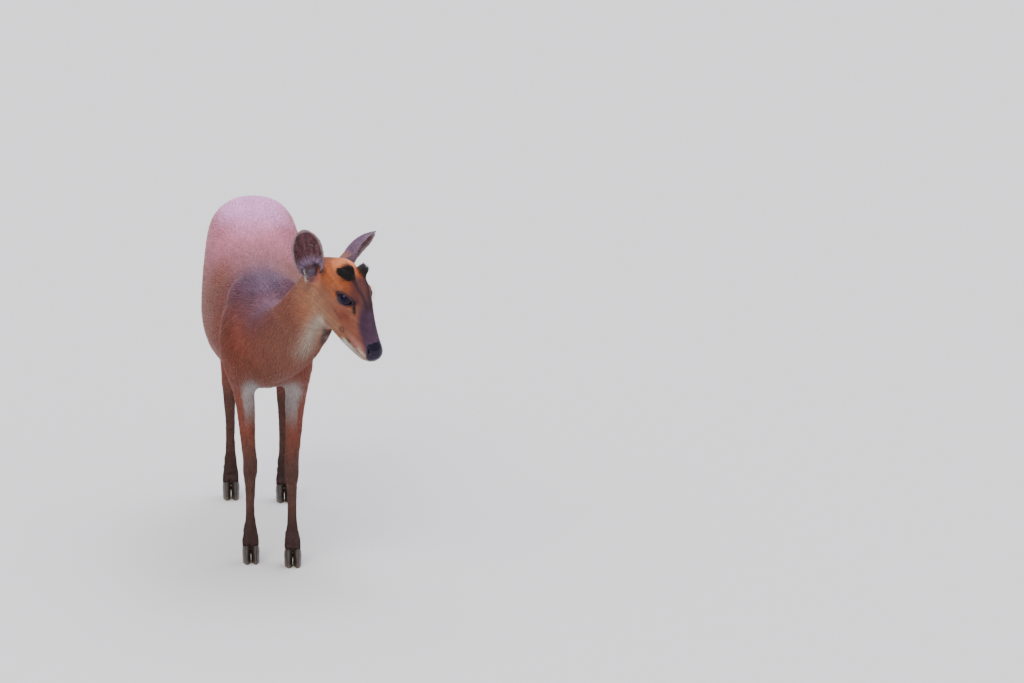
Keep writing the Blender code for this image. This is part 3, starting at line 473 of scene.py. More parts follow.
@dataclass
class Surface:
    """A mesh as arrays: vertices, their normals, triangles, and each one's middle, area and facing."""

    points: Array
    normals: Array
    faces: Array
    middle: Array
    area: Array
    facing: Array

    @classmethod
    def of(cls, mesh: bpy.types.Mesh) -> "Surface":
        """Reads a mesh."""
        points, faces = coordinates(mesh), triangles_of(mesh)
        a, b, c = points[faces[:, 0]], points[faces[:, 1]], points[faces[:, 2]]
        facing = np.cross(b - a, c - a)
        size = np.linalg.norm(facing, axis=1) / 2
        return cls(points, normals_of(mesh), faces, (a + b + c) / 3, size, unit(facing))


def place_vertices(mesh: bpy.types.Mesh, points: Array) -> None:
    """Moves a mesh's vertices to new places."""
    mesh.vertices.foreach_set("co", points.astype(np.float32).ravel())
    mesh.update()


def blended(mesh: bpy.types.Mesh, values: Array, weight: Array, steps: int, factor: float = 0.5) -> Array:
    """Each vertex's values moved step by step towards its neighbours' mean.

    Args:
        mesh: The mesh.
        values: One row for each vertex.
        weight: How much of each step each vertex takes.
        steps: How many times.
        factor: The share of the way taken at weight 1.

    Returns:
        The new values.
    """
    edges = np.zeros(len(mesh.edges) * 2, np.int32)
    mesh.edges.foreach_get("vertices", edges)
    a, b = edges.reshape(-1, 2).T
    values = values.copy()
    size, width = values.shape
    count = np.bincount(np.concatenate([a, b]), minlength=size).clip(1)[:, None]
    share = (weight * factor)[:, None]
    for _ in range(steps):
        mean = np.stack([np.bincount(a, values[b, k], size) + np.bincount(b, values[a, k], size)
                         for k in range(width)], axis=1) / count
        values += (mean - values) * share
    return values


def relax(mesh: bpy.types.Mesh, weight: Array, steps: int, broad: int = 0) -> None:
    """Smooths a mesh, and gives it back the bulk that this takes, but not the facets.

    Args:
        mesh: The mesh.
        weight: How much of each step each vertex takes.
        steps: How many times.
        broad: How many times the lost depth is evened out before it is given back, or 0 for not at all.
    """
    before = coordinates(mesh)
    place_vertices(mesh, blended(mesh, before, weight, steps))
    if broad:
        points, normals = coordinates(mesh), normals_of(mesh)
        lost = ((before - points) * normals).sum(axis=1, keepdims=True)
        lost = blended(mesh, lost, np.ones(len(points)), broad)
        place_vertices(mesh, points + normals * lost)


def paint(mesh: bpy.types.Mesh, name: str, colours: Array) -> None:
    """Writes a colour for each vertex, in linear light."""
    layer = mesh.attributes.new(name, "FLOAT_COLOR", "POINT")
    rows = np.ones((len(colours), 4), np.float32)
    rows[:, :3] = colours
    layer.data.foreach_set("color", rows.ravel())


def write_values(mesh: bpy.types.Mesh, name: str, values: Array) -> None:
    """Writes a number for each vertex."""
    layer = mesh.attributes.new(name, "FLOAT", "POINT")
    layer.data.foreach_set("value", values.astype(np.float32))


# Materials


def add_node(tree: bpy.types.NodeTree, kind: str, settings: dict | None = None,
             links: dict | None = None) -> bpy.types.Node:
    """Adds a shader node with its settings and links.

    Args:
        tree: The material's node tree.
        kind: The node's type.
        settings: Properties by name, or input values by socket name.
        links: Output sockets by the name or number of the input that they feed.

    Returns:
        The node.
    """
    made = tree.nodes.new(kind)
    for key, value in (settings or {}).items():
        if key in made.inputs:
            made.inputs[key].default_value = value
        else:
            setattr(made, key, value)
    for key, socket in (links or {}).items():
        tree.links.new(socket, made.inputs[key])
    return made


def principled(name: str, values: dict) -> tuple[bpy.types.Material, bpy.types.NodeTree, bpy.types.Node]:
    """A new material, its node tree and its principled shader, whose inputs take those values."""
    made = bpy.data.materials.new(name)
    made.use_nodes = True
    shader = made.node_tree.nodes["Principled BSDF"]
    for key, value in values.items():
        shader.inputs[key].default_value = value
    return made, made.node_tree, shader


@dataclass(frozen=True)
class Finish:
    """A principled finish whose colour comes from the surface's own attribute or from one hex value."""

    name: str
    colour: str = ""
    attribute: str = ""
    roughness: float = 0.5
    specular: float = 0.5
    ior: float = 1.5
    glint: str = "#FFFFFF"
    sheen: float = 0.0
    sheen_tint: str = "#FFFFFF"
    sheen_roughness: float = 0.4
    bump_size: float = 0.0
    bump_depth: float = 0.0
    bump_detail: float = 3.0
    wet_attribute: str = ""
    wet_roughness: float = 0.2
    wet_bump: float = 0.14

    def build(self) -> bpy.types.Material:
        """Makes the material with its node tree."""
        values = {"Roughness": self.roughness, "Specular IOR Level": self.specular, "IOR": self.ior,
                  "Specular Tint": opaque(self.glint), "Sheen Weight": self.sheen,
                  "Sheen Roughness": self.sheen_roughness, "Sheen Tint": opaque(self.sheen_tint)}
        if self.colour:
            values["Base Color"] = opaque(self.colour)
        made, tree, shader = principled(self.name, values)
        if self.attribute:
            colour = add_node(tree, "ShaderNodeAttribute", {"attribute_name": self.attribute})
            tree.links.new(colour.outputs["Color"], shader.inputs["Base Color"])
        if self.wet_attribute:
            wet = add_node(tree, "ShaderNodeAttribute", {"attribute_name": self.wet_attribute})
            rough = add_node(tree, "ShaderNodeMapRange",
                             {"To Min": self.roughness, "To Max": self.wet_roughness},
                             {"Value": wet.outputs["Fac"]})
            tree.links.new(rough.outputs["Result"], shader.inputs["Roughness"])
        if self.bump_size:
            place = add_node(tree, "ShaderNodeTexCoord")
            grain = add_node(tree, "ShaderNodeTexNoise",
                             {"Scale": 1.0 / self.bump_size, "Detail": self.bump_detail},
                             {"Vector": place.outputs["Object"]})
            bump = add_node(tree, "ShaderNodeBump", {"Strength": 1.0, "Distance": self.bump_depth},
                            {"Height": grain.outputs["Fac"]})
            if self.wet_attribute:
                calm = add_node(tree, "ShaderNodeMapRange", {"To Min": 1.0, "To Max": self.wet_bump},
                                {"Value": wet.outputs["Fac"]})
                tree.links.new(calm.outputs["Result"], bump.inputs["Strength"])
            tree.links.new(bump.outputs["Normal"], shader.inputs["Normal"])
        return made


# Skin under short hair: matt, uneven as hair that lies flat, but smooth and wet on the nose's pad
SKIN_FINISH = Finish("haired_skin", attribute="coat_colour", roughness=0.62, specular=0.5, glint="#C6B6DA",
                     sheen=0.03, bump_size=1.6 * MM, bump_depth=0.5 * MM, wet_attribute="wet",
                     wet_roughness=0.11)
# Keratin hair, flat and sleek: each tuft takes a soft, wide highlight along its length
COAT_FINISH = Finish("deer_hair", attribute="coat_colour", roughness=0.46, specular=0.28, sheen=0.05,
                     sheen_tint="#EDE4F0")
# A wet eye: a dark ball under a clear, smooth film of tears, which mirrors the light in blue
EYE_FINISH = Finish("wet_eye", attribute="iris", roughness=0.12, specular=0.5, ior=1.40, glint="#B2A8E4")
# Eyelid edge: hairless, dark and slightly moist skin
LID_FINISH = Finish("lid_edge", colour=Tone.RIM.value, roughness=0.32, specular=0.45,
                    bump_size=0.7 * MM, bump_depth=0.08 * MM)
# Thin, dark ear skin with a faint shine
EAR_FINISH = Finish("ear_skin", attribute="coat_colour", roughness=0.5, specular=0.35,
                    bump_size=1.4 * MM, bump_depth=0.25 * MM)


@dataclass(frozen=True)
class HoofHorn:
    """Worn hoof horn: dark keratin, half dull, with growth rings round it and dusty, scuffed soles."""

    name: str = "hoof_horn_worn"
    dark: str = "#1D1815"
    light: str = "#43372E"
    dust: str = "#8A7762"
    specular: float = 0.45
    ior: float = 1.54
    ring_spacing: float = 2.2 * MM
    ring_depth: float = 0.25 * MM
    wander: float = 2.0 * MM
    wander_scale: float = 90.0
    dusty_height: tuple[float, float] = (1.0 * MM, 9.0 * MM)
    dusty_share: float = 0.35
    roughness: tuple[float, float] = (0.34, 0.62)

    def build(self) -> bpy.types.Material:
        """Makes the material with its node tree."""
        made, tree, shader = principled(self.name, {"Specular IOR Level": self.specular, "IOR": self.ior})
        place = add_node(tree, "ShaderNodeTexCoord")
        parts = add_node(tree, "ShaderNodeSeparateXYZ", links={"Vector": place.outputs["Object"]})
        wander = add_node(tree, "ShaderNodeTexNoise", {"Scale": self.wander_scale, "Detail": 2.0},
                          {"Vector": place.outputs["Object"]})
        height = add_node(tree, "ShaderNodeMath", {"operation": "MULTIPLY_ADD"},
                          {0: wander.outputs["Fac"], 2: parts.outputs["Z"]})
        height.inputs[1].default_value = self.wander
        phase = add_node(tree, "ShaderNodeMath", {"operation": "MULTIPLY"}, {0: height.outputs[0]})
        phase.inputs[1].default_value = 2 * math.pi / self.ring_spacing
        rings = add_node(tree, "ShaderNodeMath", {"operation": "SINE"}, {0: phase.outputs[0]})
        ringed = add_node(tree, "ShaderNodeMapRange", {"From Min": -1.0, "From Max": 1.0},
                          {"Value": rings.outputs[0]})
        colour = add_node(tree, "ShaderNodeMix", {"data_type": "RGBA"})
        tree.links.new(ringed.outputs["Result"], colour.inputs["Factor"])
        colour.inputs[6].default_value = opaque(self.dark)
        colour.inputs[7].default_value = opaque(self.light)
        bottom, top = self.dusty_height
        low = add_node(tree, "ShaderNodeMapRange",
                       {"From Min": bottom, "From Max": top, "To Min": self.dusty_share, "To Max": 0.0},
                       {"Value": height.outputs[0]})
        dusty = add_node(tree, "ShaderNodeMix", {"data_type": "RGBA"})
        tree.links.new(low.outputs["Result"], dusty.inputs["Factor"])
        tree.links.new(colour.outputs[2], dusty.inputs[6])
        dusty.inputs[7].default_value = opaque(self.dust)
        tree.links.new(dusty.outputs[2], shader.inputs["Base Color"])
        smooth, scuffed = self.roughness
        rough = add_node(tree, "ShaderNodeMapRange", {"To Min": smooth, "To Max": scuffed},
                         {"Value": low.outputs["Result"]})
        tree.links.new(rough.outputs["Result"], shader.inputs["Roughness"])
        bump = add_node(tree, "ShaderNodeBump", {"Strength": 1.0, "Distance": self.ring_depth},
                        {"Height": ringed.outputs["Result"]})
        tree.links.new(bump.outputs["Normal"], shader.inputs["Normal"])
        return made


# The markings, the same for skin and coat


@dataclass
class Layers:
    """Colours laid one over another at places of one frame."""

    points: Array
    colours: Array

    @classmethod
    def over(cls, points: Array, ground: Tone) -> "Layers":
        """Starts with one tone all over."""
        return cls(points, np.tile(linear(ground.value), (len(points), 1)))

    def lay(self, tone: Tone, amount: Array) -> None:
        """Lays a tone over the colours, as much at each place as its amount."""
        self.colours = mixed(self.colours, tone, amount)

    def spots(self, *rows: tuple[Tone, float, Point, Point]) -> None:
        """Lays soft balls of tone, each given as tone, amount, centre and radii."""
        for tone, amount, centre, radii in rows:
            self.lay(tone, amount * blob(self.points, centre, radii))


@dataclass(frozen=True)
class Markings:
    """The colours of the coat by place, as soft areas set on the body and on the head.

    Heights and places along the body are pairs: where a marking starts and where it is full.
    """

    # Where the painted sheen of back, rump and rump top starts and where it is full, by height
    back_height: tuple[float, float] = (0.455, 0.495)
    rump_height: tuple[float, float] = (0.40, 0.515)
    rump_top_height: tuple[float, float] = (0.495, 0.535)
    belly_height: tuple[float, float] = (0.335, 0.300)
    shank_height: tuple[float, float] = (0.235, 0.165)
    pastern_height: tuple[float, float] = (0.110, 0.055)
    # The pale hair at the head of each fore leg: to the side and how high
    fore_patches: tuple[tuple[float, float], ...] = ((-0.025, 0.312), (0.046, 0.303))
    # The top of the cheek's colour beside the dark bridge: how far back, and how high there
    bridge_edge: tuple[tuple[float, ...], ...] = ((0.010, 0.0285, 0.0503, 0.0658, 0.076),
                                                  (-0.006, 0.0040, 0.0150, 0.0325, 0.043))
    # The dark lines up the forehead, which part from the bridge to the knobs: how far back, and how far out
    forehead_line: tuple[tuple[float, ...], ...] = (
        (0.062, 0.068, 0.075, 0.083, 0.090, 0.097, 0.110, 0.127),
        (0.0030, 0.0042, 0.0060, 0.0075, 0.0098, 0.0122, 0.0140, 0.0144))
    forehead_line_width: tuple[tuple[float, ...], ...] = ((0.070, 0.090, 0.120), (0.0054, 0.0042, 0.0034))
    # The lower lip's top edge: how far back, and how high
    lip_edge: tuple[tuple[float, ...], ...] = ((0.0, 0.020, 0.052, 0.060),
                                               (-0.0120, -0.0140, -0.0180, -0.0200))

    def body(self, p: Array, normal: Array) -> Array:
        """Colours of trunk, neck and legs.

        Args:
            p: Places in the body's design frame.
            normal: The skin's normals there.

        Returns:
            Linear colours, one row each.
        """
        coat = Layers.over(p, Tone.CHESTNUT)
        x, y, z = p.T
        up, ahead = normal[:, 2], -normal[:, 1]
        wander = mottle(p, 0.05, 3)
        coat.spots((Tone.SHOULDER, 0.75, (0.0, -0.19, 0.38), (0.14, 0.09, 0.10)))
        # Painted sheen: the back, where it faces up, is laid pink over the chestnut, the sky's reflection on
        # glossy hair
        coat.lay(Tone.BACK, step(*self.back_height, z) * step(0.1, 0.7, up) * step(-0.20, -0.13, y) * 0.9)
        # Painted sheen: pink laid on the rump where it faces up and back, the sky's reflection on glossy hair
        # over the chestnut
        rear_sheen = step(-0.06, 0.06, y) * step(-0.35, 0.45, up + 0.3 * ahead)
        coat.lay(Tone.RUMP, step(*self.rump_height, z + 0.01 * wander) * rear_sheen)
        # Painted highlight: the top of the rump, where it faces up, is lightest and most lilac, the sky's
        # reflection on glossy hair
        top = step(*self.rump_top_height, z + 0.006 * wander)
        coat.lay(Tone.RUMP_TOP, top * rear_sheen * step(0.30, 0.85, up) * 0.9)
        coat.spots((Tone.NECK, 0.85, (0.050, -0.300, 0.420), (0.060, 0.055, 0.075)),
                   (Tone.BREAST, 0.6, (0.0, -0.25, 0.335), (0.040, 0.05, 0.045)))
        # The withers: the coat's own darker brown, with painted lilac sheen where they face up and forwards
        withers_sheen = blob(p, (-0.004, -0.160, 0.478), (0.058, 0.078, 0.046))
        coat.lay(Tone.WITHERS_SHEEN, 1.15 * withers_sheen * step(-0.3, 0.4, up + 0.4 * ahead))
        coat.spots((Tone.WITHERS_SHEEN, 0.85, (0.006, -0.242, 0.458), (0.046, 0.036, 0.030)))
        inner = step(0.033, 0.015, np.abs(x + 0.002)) * step(*self.belly_height, z)
        coat.lay(Tone.BELLY, step(-0.55, -0.88, up) * step(-0.17, -0.10, y) * step(*self.belly_height, z))
        coat.lay(Tone.BELLY, inner * step(-0.05, 0.02, y) * step(0.16, 0.24, z) * 0.9)
        fore = step(-0.10, -0.14, y)
        facing = step(0.0, 0.55, np.where(x > 0, -1, 1) * normal[:, 0] + 0.55 * np.maximum(ahead, 0))
        high = step(0.330, 0.300, z) * step(0.225, 0.285, z + 0.012 * wander)
        coat.lay(Tone.INNER_LEG, fore * high * facing * 0.95)
        for middle, height in self.fore_patches:
            patch = blob(p, (middle, -0.215, height), (0.013, 0.040, 0.017))
            coat.lay(Tone.INNER_LEG, 1.4 * patch * step(-0.1, 0.3, ahead))
        buttock = step(0.245, 0.285, y) * step(0.375, 0.335, z) * step(0.19, 0.25, z)
        coat.lay(Tone.BELLY, buttock * step(0.060, 0.040, np.abs(x)) * 0.9)
        coat.lay(Tone.SHANK, step(*self.shank_height, z + 0.006 * wander) * 0.95)
        coat.lay(Tone.PASTERN, step(*self.pastern_height, z) * 0.85)
        return coat.colours

    def head(self, h: Array, normal: Array) -> Array:
        """Colours of the head.

        Args:
            h: Places in the head's own frame.
            normal: The skin's normals there, in the same frame.

        Returns:
            Linear colours, one row each.
        """
        x, y, z = h.T
        side, up = np.abs(y), normal[:, 2]
        mirror = np.stack([x, side, z], axis=1)
        coat = Layers.over(mirror, Tone.CHEEK)
        coat.lay(Tone.FOREHEAD, step(0.15, 0.75, up) * step(0.070, 0.100, x) * step(0.200, 0.165, x))
        coat.spots((Tone.FOREHEAD, 0.8, (0.142, 0.036, 0.034), (0.024, 0.014, 0.020)))
        coat.lay(Tone.NECK, step(0.160, 0.195, x + 0.4 * np.maximum(-z - 0.01, 0)) * 0.8)
        # Jaw and the cheek behind it, the cheek below the eye, the muzzle's side, the brow, the lip
        # and the crown, whose rufous is lightened to peach by painted highlight from above
        coat.spots((Tone.TAN, 0.85, (0.090, 0.026, -0.020), (0.026, 0.014, 0.014)),
                   (Tone.TAN, 0.75, (0.130, 0.036, -0.014), (0.030, 0.012, 0.024)),
                   (Tone.RUST, 0.95, (0.080, 0.027, 0.011), (0.020, 0.010, 0.012)),
                   (Tone.RUST, 0.55, (0.044, 0.018, 0.004), (0.018, 0.010, 0.008)),
                   (Tone.BROW, 1.15, (0.086, 0.019, 0.043), (0.015, 0.008, 0.010)),
                   (Tone.RUST, 0.9, (0.101, 0.0175, 0.052), (0.016, 0.008, 0.008)),
                   (Tone.BROW, 0.7, (0.095, 0.0220, 0.047), (0.012, 0.008, 0.009)),
                   (Tone.LIP, 0.7, (0.036, 0.0175, -0.008), (0.016, 0.010, 0.0055)),
                   (Tone.CROWN, 1.0, (0.153, 0.012, 0.055), (0.022, 0.024, 0.016)))
        edge = np.interp(x, *self.bridge_edge)
        coat.lay(Tone.BRIDGE, step(edge - 0.009, edge + 0.006, z) * step(0.082, 0.070, x) * 0.97)
        line = np.interp(x, *self.forehead_line)
        between = step(line + 0.002, line - 0.003, side) * step(0.060, 0.070, x) * step(0.124, 0.110, x)
        coat.lay(Tone.BROW, between * step(0.1, 0.4, up) * 0.9)
        stripe = bell(side - line, np.interp(x, *self.forehead_line_width))
        stripe = stripe * step(0.058, 0.070, x) * step(0.134, 0.124, x)
        coat.lay(Tone.BAND, stripe * step(0.0, 0.35, up) * 1.05)
        coat.spots((Tone.TUFT, 1.4, HEAD.knob_place, (0.0095, 0.0080, 0.0120)))
        lip = np.interp(x, *self.lip_edge)
        below = step(lip + 0.0005, lip - 0.0022, z)
        coat.lay(Tone.THROAT, below * step(0.064, 0.050, x) * 0.9)
        coat.lay(Tone.WHITE, below * step(0.061, 0.051, x) * step(0.024, 0.044, x))
        coat.lay(Tone.THROAT, step(-0.45, -0.85, up) * step(0.035, 0.055, x) * 0.85)
        # The upper lip's pale edge and the dark corner of the mouth, painted shade where the lips part
        coat.spots((Tone.WHITE, 0.55, (0.020, 0.0145, -0.0105), (0.012, 0.006, 0.0035)),
                   (Tone.STRIPE, 0.95, (0.0485, 0.0188, -0.0172), (0.0050, 0.006, 0.0028)))
        self.cheek_details(coat)
        places = off_head(h)
        for sign, _ in SIDES:
            local = in_eye(places, sign)
            near = before_eye(local, 0.045)
            coat.lay(Tone.RIM, near * step(1.68, 1.14, EYE.spread(local)))
        coat.lay(Tone.STRIPE, 1.1 * bell(EYE.off_gland(places), 0.0023))
        coat.lay(Tone.NOSE, nose_pad(h) * 1.2)
        return coat.colours

    def cheek_details(self, coat: Layers) -> None:
        """Lays the ringed wart of the cheek, the crease below the eye and the white tuft before the ear, with
        painted shade in the crease and round the ear's root.
        """
        mirror = coat.points
        wart = np.linalg.norm(mirror - np.array((0.0675, 0.0240, -0.0112)), axis=1)
        coat.lay(Tone.BAND, 0.65 * bell(wart - 0.0038, 0.0023))
        # Painted shade: a dark line along the crease below the eye
        crease = off_line(mirror, (0.0975, 0.0315, 0.0050), (0.0800, 0.0275, 0.0022))
        coat.lay(Tone.BAND, 0.45 * bell(crease, 0.0024))
        # Painted shade on the head round each ear's root, where the ear shades the crown and brow
        coat.spots((Tone.EAR_BACK, 0.85, (0.160, 0.044, 0.012), (0.007, 0.010, 0.009)),
                   (Tone.EAR_BACK, 1.1, (0.171, 0.034, 0.026), (0.008, 0.010, 0.012)))
        tuft = off_line(mirror, (0.174, 0.0495, 0.010), (0.164, 0.0455, 0.001))
        coat.lay(Tone.WHITE, 1.2 * bell(tuft, 0.0045))


MARKS = Markings()


def head_share(points: Array) -> Array:
    """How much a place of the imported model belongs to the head: 1 on it, 0 on the neck and body."""
    h, p = on_head(points), on_body(points)
    above = -0.45 * (h[:, 0] - 0.150) + 0.89 * (h[:, 2] + 0.043)
    return step(-0.012, 0.012, above) * step(0.26, 0.22, h[:, 0]) * (p[:, 1] < -0.20)


def neck_share(p: Array) -> Array:
    """How much a place of the body's frame lies forward of the shoulders, on the neck."""
    return step(-0.17, -0.24, p[:, 1] - 0.5 * (p[:, 0] - 0.01))


def coat_colours(points: Array, normals: Array) -> Array:
    """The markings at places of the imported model, in linear light."""
    share = head_share(points)[:, None]
    p = on_body(points)
    body = MARKS.body(p, normals)
    head = MARKS.head(on_head(points), normals @ HEAD_TURN)
    colours = body * (1 - share) + head * share
    front = step(0.1, 0.5, -normals[:, 1] + 0.3 * normals[:, 0])
    throat = bell(off_line(p, (0.058, -0.320, 0.396), (0.084, -0.332, 0.448)), 0.0165) * front
    throat = np.minimum(throat * np.interp(p[:, 2], (0.380, 0.445), (0.32, 1.05)), 0.92)
    return mixed(colours, Tone.THROAT, throat)


# The lie of the coat


@dataclass(frozen=True)
class Combing:
    """The lie of the hair, from guides on the right half of the body that are mirrored to the left."""

    body_guides: tuple[tuple[Point, Point], ...] = (
        ((0.000, -0.060, 0.490), (0.0, 1.0, 0.0)), ((0.000, 0.040, 0.510), (0.0, 1.0, 0.10)),
        ((0.000, 0.150, 0.538), (0.0, 1.0, 0.0)), ((0.000, 0.230, 0.515), (0.0, 0.85, -0.5)),
        ((0.000, 0.285, 0.450), (0.0, 0.3, -1.0)), ((0.045, 0.285, 0.410), (0.1, 0.3, -1.0)),
        ((0.055, 0.100, 0.505), (0.2, 0.9, -0.35)), ((0.085, 0.060, 0.440), (0.0, 0.85, -0.5)),
        ((0.085, -0.040, 0.400), (0.0, 0.90, -0.45)), ((0.080, 0.020, 0.340), (0.0, 0.80, -0.55)),
        ((0.030, 0.000, 0.288), (0.0, 1.0, -0.05)), ((0.000, -0.120, 0.290), (0.0, 1.0, 0.0)),
        ((0.060, -0.140, 0.460), (0.3, 0.55, -0.75)), ((0.070, -0.150, 0.400), (0.05, 0.40, -0.90)),
        ((0.062, -0.160, 0.340), (0.0, 0.20, -1.0)), ((0.072, 0.190, 0.450), (0.1, 0.65, -0.70)),
        ((0.075, 0.170, 0.370), (0.0, 0.35, -0.95)), ((0.050, 0.160, 0.290), (0.0, 0.45, -0.90)),
        ((0.045, 0.240, 0.230), (0.0, 0.10, -1.0)), ((0.045, 0.225, 0.120), (0.0, -0.1, -1.0)),
        ((0.040, -0.170, 0.260), (0.0, 0.0, -1.0)), ((0.040, -0.170, 0.120), (0.0, 0.0, -1.0)),
        ((0.020, -0.265, 0.370), (0.05, 0.10, -1.0)), ((0.000, -0.230, 0.300), (0.0, 0.75, -0.6)),
    )
    neck_guides: tuple[tuple[Point, Point], ...] = (
        ((0.060, -0.245, 0.500), (-0.35, 0.60, -0.70)), ((0.030, -0.215, 0.470), (-0.35, 0.75, -0.45)),
        ((0.005, -0.160, 0.480), (-0.10, 1.0, -0.05)), ((0.095, -0.330, 0.440), (-0.35, 0.15, -0.95)),
        ((0.030, -0.310, 0.440), (-0.45, 0.25, -0.90)), ((0.065, -0.330, 0.400), (-0.45, 0.20, -0.85)),
        ((0.085, -0.260, 0.430), (-0.25, 0.45, -0.85)), ((0.020, -0.300, 0.380), (-0.20, 0.20, -0.95)),
    )
    head_guides: tuple[tuple[Point, Point], ...] = (
        ((0.020, 0.000, 0.017), (1.0, 0.0, 0.25)), ((0.060, 0.000, 0.032), (1.0, 0.0, 0.25)),
        ((0.100, 0.000, 0.047), (1.0, 0.0, 0.15)), ((0.140, 0.000, 0.053), (1.0, 0.0, -0.10)),
        ((0.180, 0.000, 0.040), (0.8, 0.0, -0.6)), ((0.198, 0.000, 0.010), (0.3, 0.0, -1.0)),
        ((0.040, 0.018, 0.000), (1.0, 0.1, 0.05)), ((0.080, 0.028, 0.010), (1.0, 0.15, 0.0)),
        ((0.075, 0.026, -0.020), (1.0, 0.05, -0.20)), ((0.110, 0.036, -0.005), (0.95, 0.0, -0.35)),
        ((0.140, 0.036, -0.005), (0.75, 0.0, -0.65)), ((0.130, 0.030, -0.040), (0.75, 0.0, -0.65)),
        ((0.060, 0.008, -0.037), (1.0, 0.0, -0.10)), ((0.015, 0.000, -0.026), (1.0, 0.0, -0.25)),
        ((0.120, 0.026, 0.045), (1.0, 0.30, 0.10)), ((0.150, 0.034, 0.030), (0.95, 0.2, 0.05)),
        ((0.030, 0.012, -0.022), (1.0, 0.0, -0.15)), ((0.175, 0.028, -0.010), (0.4, 0.0, -0.95)),
    )

    def blend(self, points: Array, guides: tuple, flip: Point | None = None) -> Array:
        """Directions from the nearest guides, weighed by distance.

        Args:
            points: Places in the guides' frame.
            guides: Places and directions.
            flip: The signs that mirror a guide to the other side, where it holds too.

        Returns:
            Directions of length one.
        """
        places = np.array([g[0] for g in guides], float)
        ways = unit(np.array([g[1] for g in guides], float))
        if flip:
            places, ways = np.vstack([places, places * flip]), np.vstack([ways, ways * flip])
        total = np.zeros_like(points)
        for place, way in zip(places, ways):
            total += way / (np.linalg.norm(points - place, axis=1, keepdims=True) ** 3 + 1e-6)
        return unit(total)

    def lie(self, points: Array, normals: Array) -> Array:
        """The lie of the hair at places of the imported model, in the skin's plane."""
        p, h = on_body(points), on_head(points)
        share = head_share(points)[:, None]
        trunk = self.blend(p, self.body_guides, (-1, 1, 1))
        neck = self.blend(p, self.neck_guides)
        about = (neck_share(p) * step(0.325, 0.375, p[:, 2]))[:, None]
        ways = trunk * (1 - about) + neck * about
        head = self.blend(h, self.head_guides, (1, -1, 1)) @ HEAD_TURN.T
        ways = ways * (1 - share) + head * share
        ways -= normals * (ways * normals).sum(axis=1, keepdims=True)
        return unit(ways)


COMB = Combing()


# Tufts


# Width of a tuft's patch on the map for baking, and the patch's corners, one for each vertex
PATCH = 0.003
PATCH_CORNERS = ((-1, -1), (1, -1), (0, -0.6), (-1, 0.3), (1, 0.3), (0, 0.5), (0, 1))
# A tuft's triangles: two triangular sections of three vertices each, and a tip
TUFT_FACES = ((0, 2, 1), (0, 1, 4), (0, 4, 3), (1, 2, 5), (1, 5, 4),
              (2, 0, 3), (2, 3, 5), (3, 4, 6), (4, 5, 6), (5, 3, 6))
# The sections: how far along the tuft, how wide and how thick, as shares of its length and width
TUFT_SECTIONS = ((0.0, 0.75, 0.30), (0.48, 1.0, 0.34))
# The most triangles that a piece may have
PIECE_LIMIT = 196000


@dataclass
class Tufts:
    """Many tufts of hair as arrays, one row each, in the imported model's frame."""

    roots: Array
    normals: Array
    lies: Array
    lengths: Array
    widths: Array
    lift: Array
    base: Array
    tip: Array
    bend: Array

    def __len__(self) -> int:
        """How many there are."""
        return len(self.roots)

    def part(self, chosen: Array) -> "Tufts":
        """Some of them."""
        return Tufts(*(getattr(self, row.name)[chosen] for row in fields(self)))

    def join(self, other: "Tufts") -> "Tufts":
        """These and others."""
        both = ([getattr(self, row.name), getattr(other, row.name)] for row in fields(self))
        return Tufts(*(np.concatenate(rows) for rows in both))

    def mesh_arrays(self) -> tuple[Array, Array, Array]:
        """Closed tapered tufts.

        Returns:
            Vertices, triangles and vertex colours.
        """
        across = unit(np.cross(self.normals, self.lies))
        rows = (self.lengths, self.widths, self.lift, self.bend)
        length, width, lift, bend = (row[:, None] for row in rows)
        sink = self.normals * width * 0.35
        points = []
        for share, breadth, raised in TUFT_SECTIONS:
            rise = length * (np.sin(lift) * share - 0.45 * np.sin(lift) * share ** 2)
            centre = self.roots - sink + self.lies * length * np.cos(lift) * share + self.normals * rise
            centre = centre + across * bend * length * share ** 2
            half = across * width * breadth * 0.5
            points += [centre - half, centre + half, centre + self.normals * width * raised]
        end = self.roots - sink * 0.6 + self.lies * length * np.cos(lift)
        points.append(end + self.normals * length * np.sin(lift) * 0.55 + across * bend * length)
        vertices = np.stack(points, axis=1)
        faces = np.array(TUFT_FACES)[None] + len(points) * np.arange(len(self))[:, None, None]
        middle = self.base * 0.35 + self.tip * 0.65
        colours = np.stack([self.base] * 3 + [middle] * 3 + [self.tip], axis=1)
        return vertices.reshape(-1, 3), faces.reshape(-1, 3), colours.reshape(-1, 3)

    def build(self, name: str, spots: Array) -> bpy.types.Object:
        """One coat piece, with the map for baking.

        Args:
            name: The piece's name.
            spots: Where each root lies on the unrolled skin, 0 to 1 each way.

        Returns:
            The object.
        """
        vertices, faces, colours = self.mesh_arrays()
        item = triangle_object(name, vertices, faces)
        paint(item.data, "coat_colour", colours)
        flat = (spots[:, None, :] + np.array(PATCH_CORNERS)[None] * PATCH / 2).reshape(-1, 2)
        layer = item.data.uv_layers.new(name="OFBake")
        layer.data.foreach_set("uv", flat[faces.ravel()].astype(np.float32).ravel())
        return item


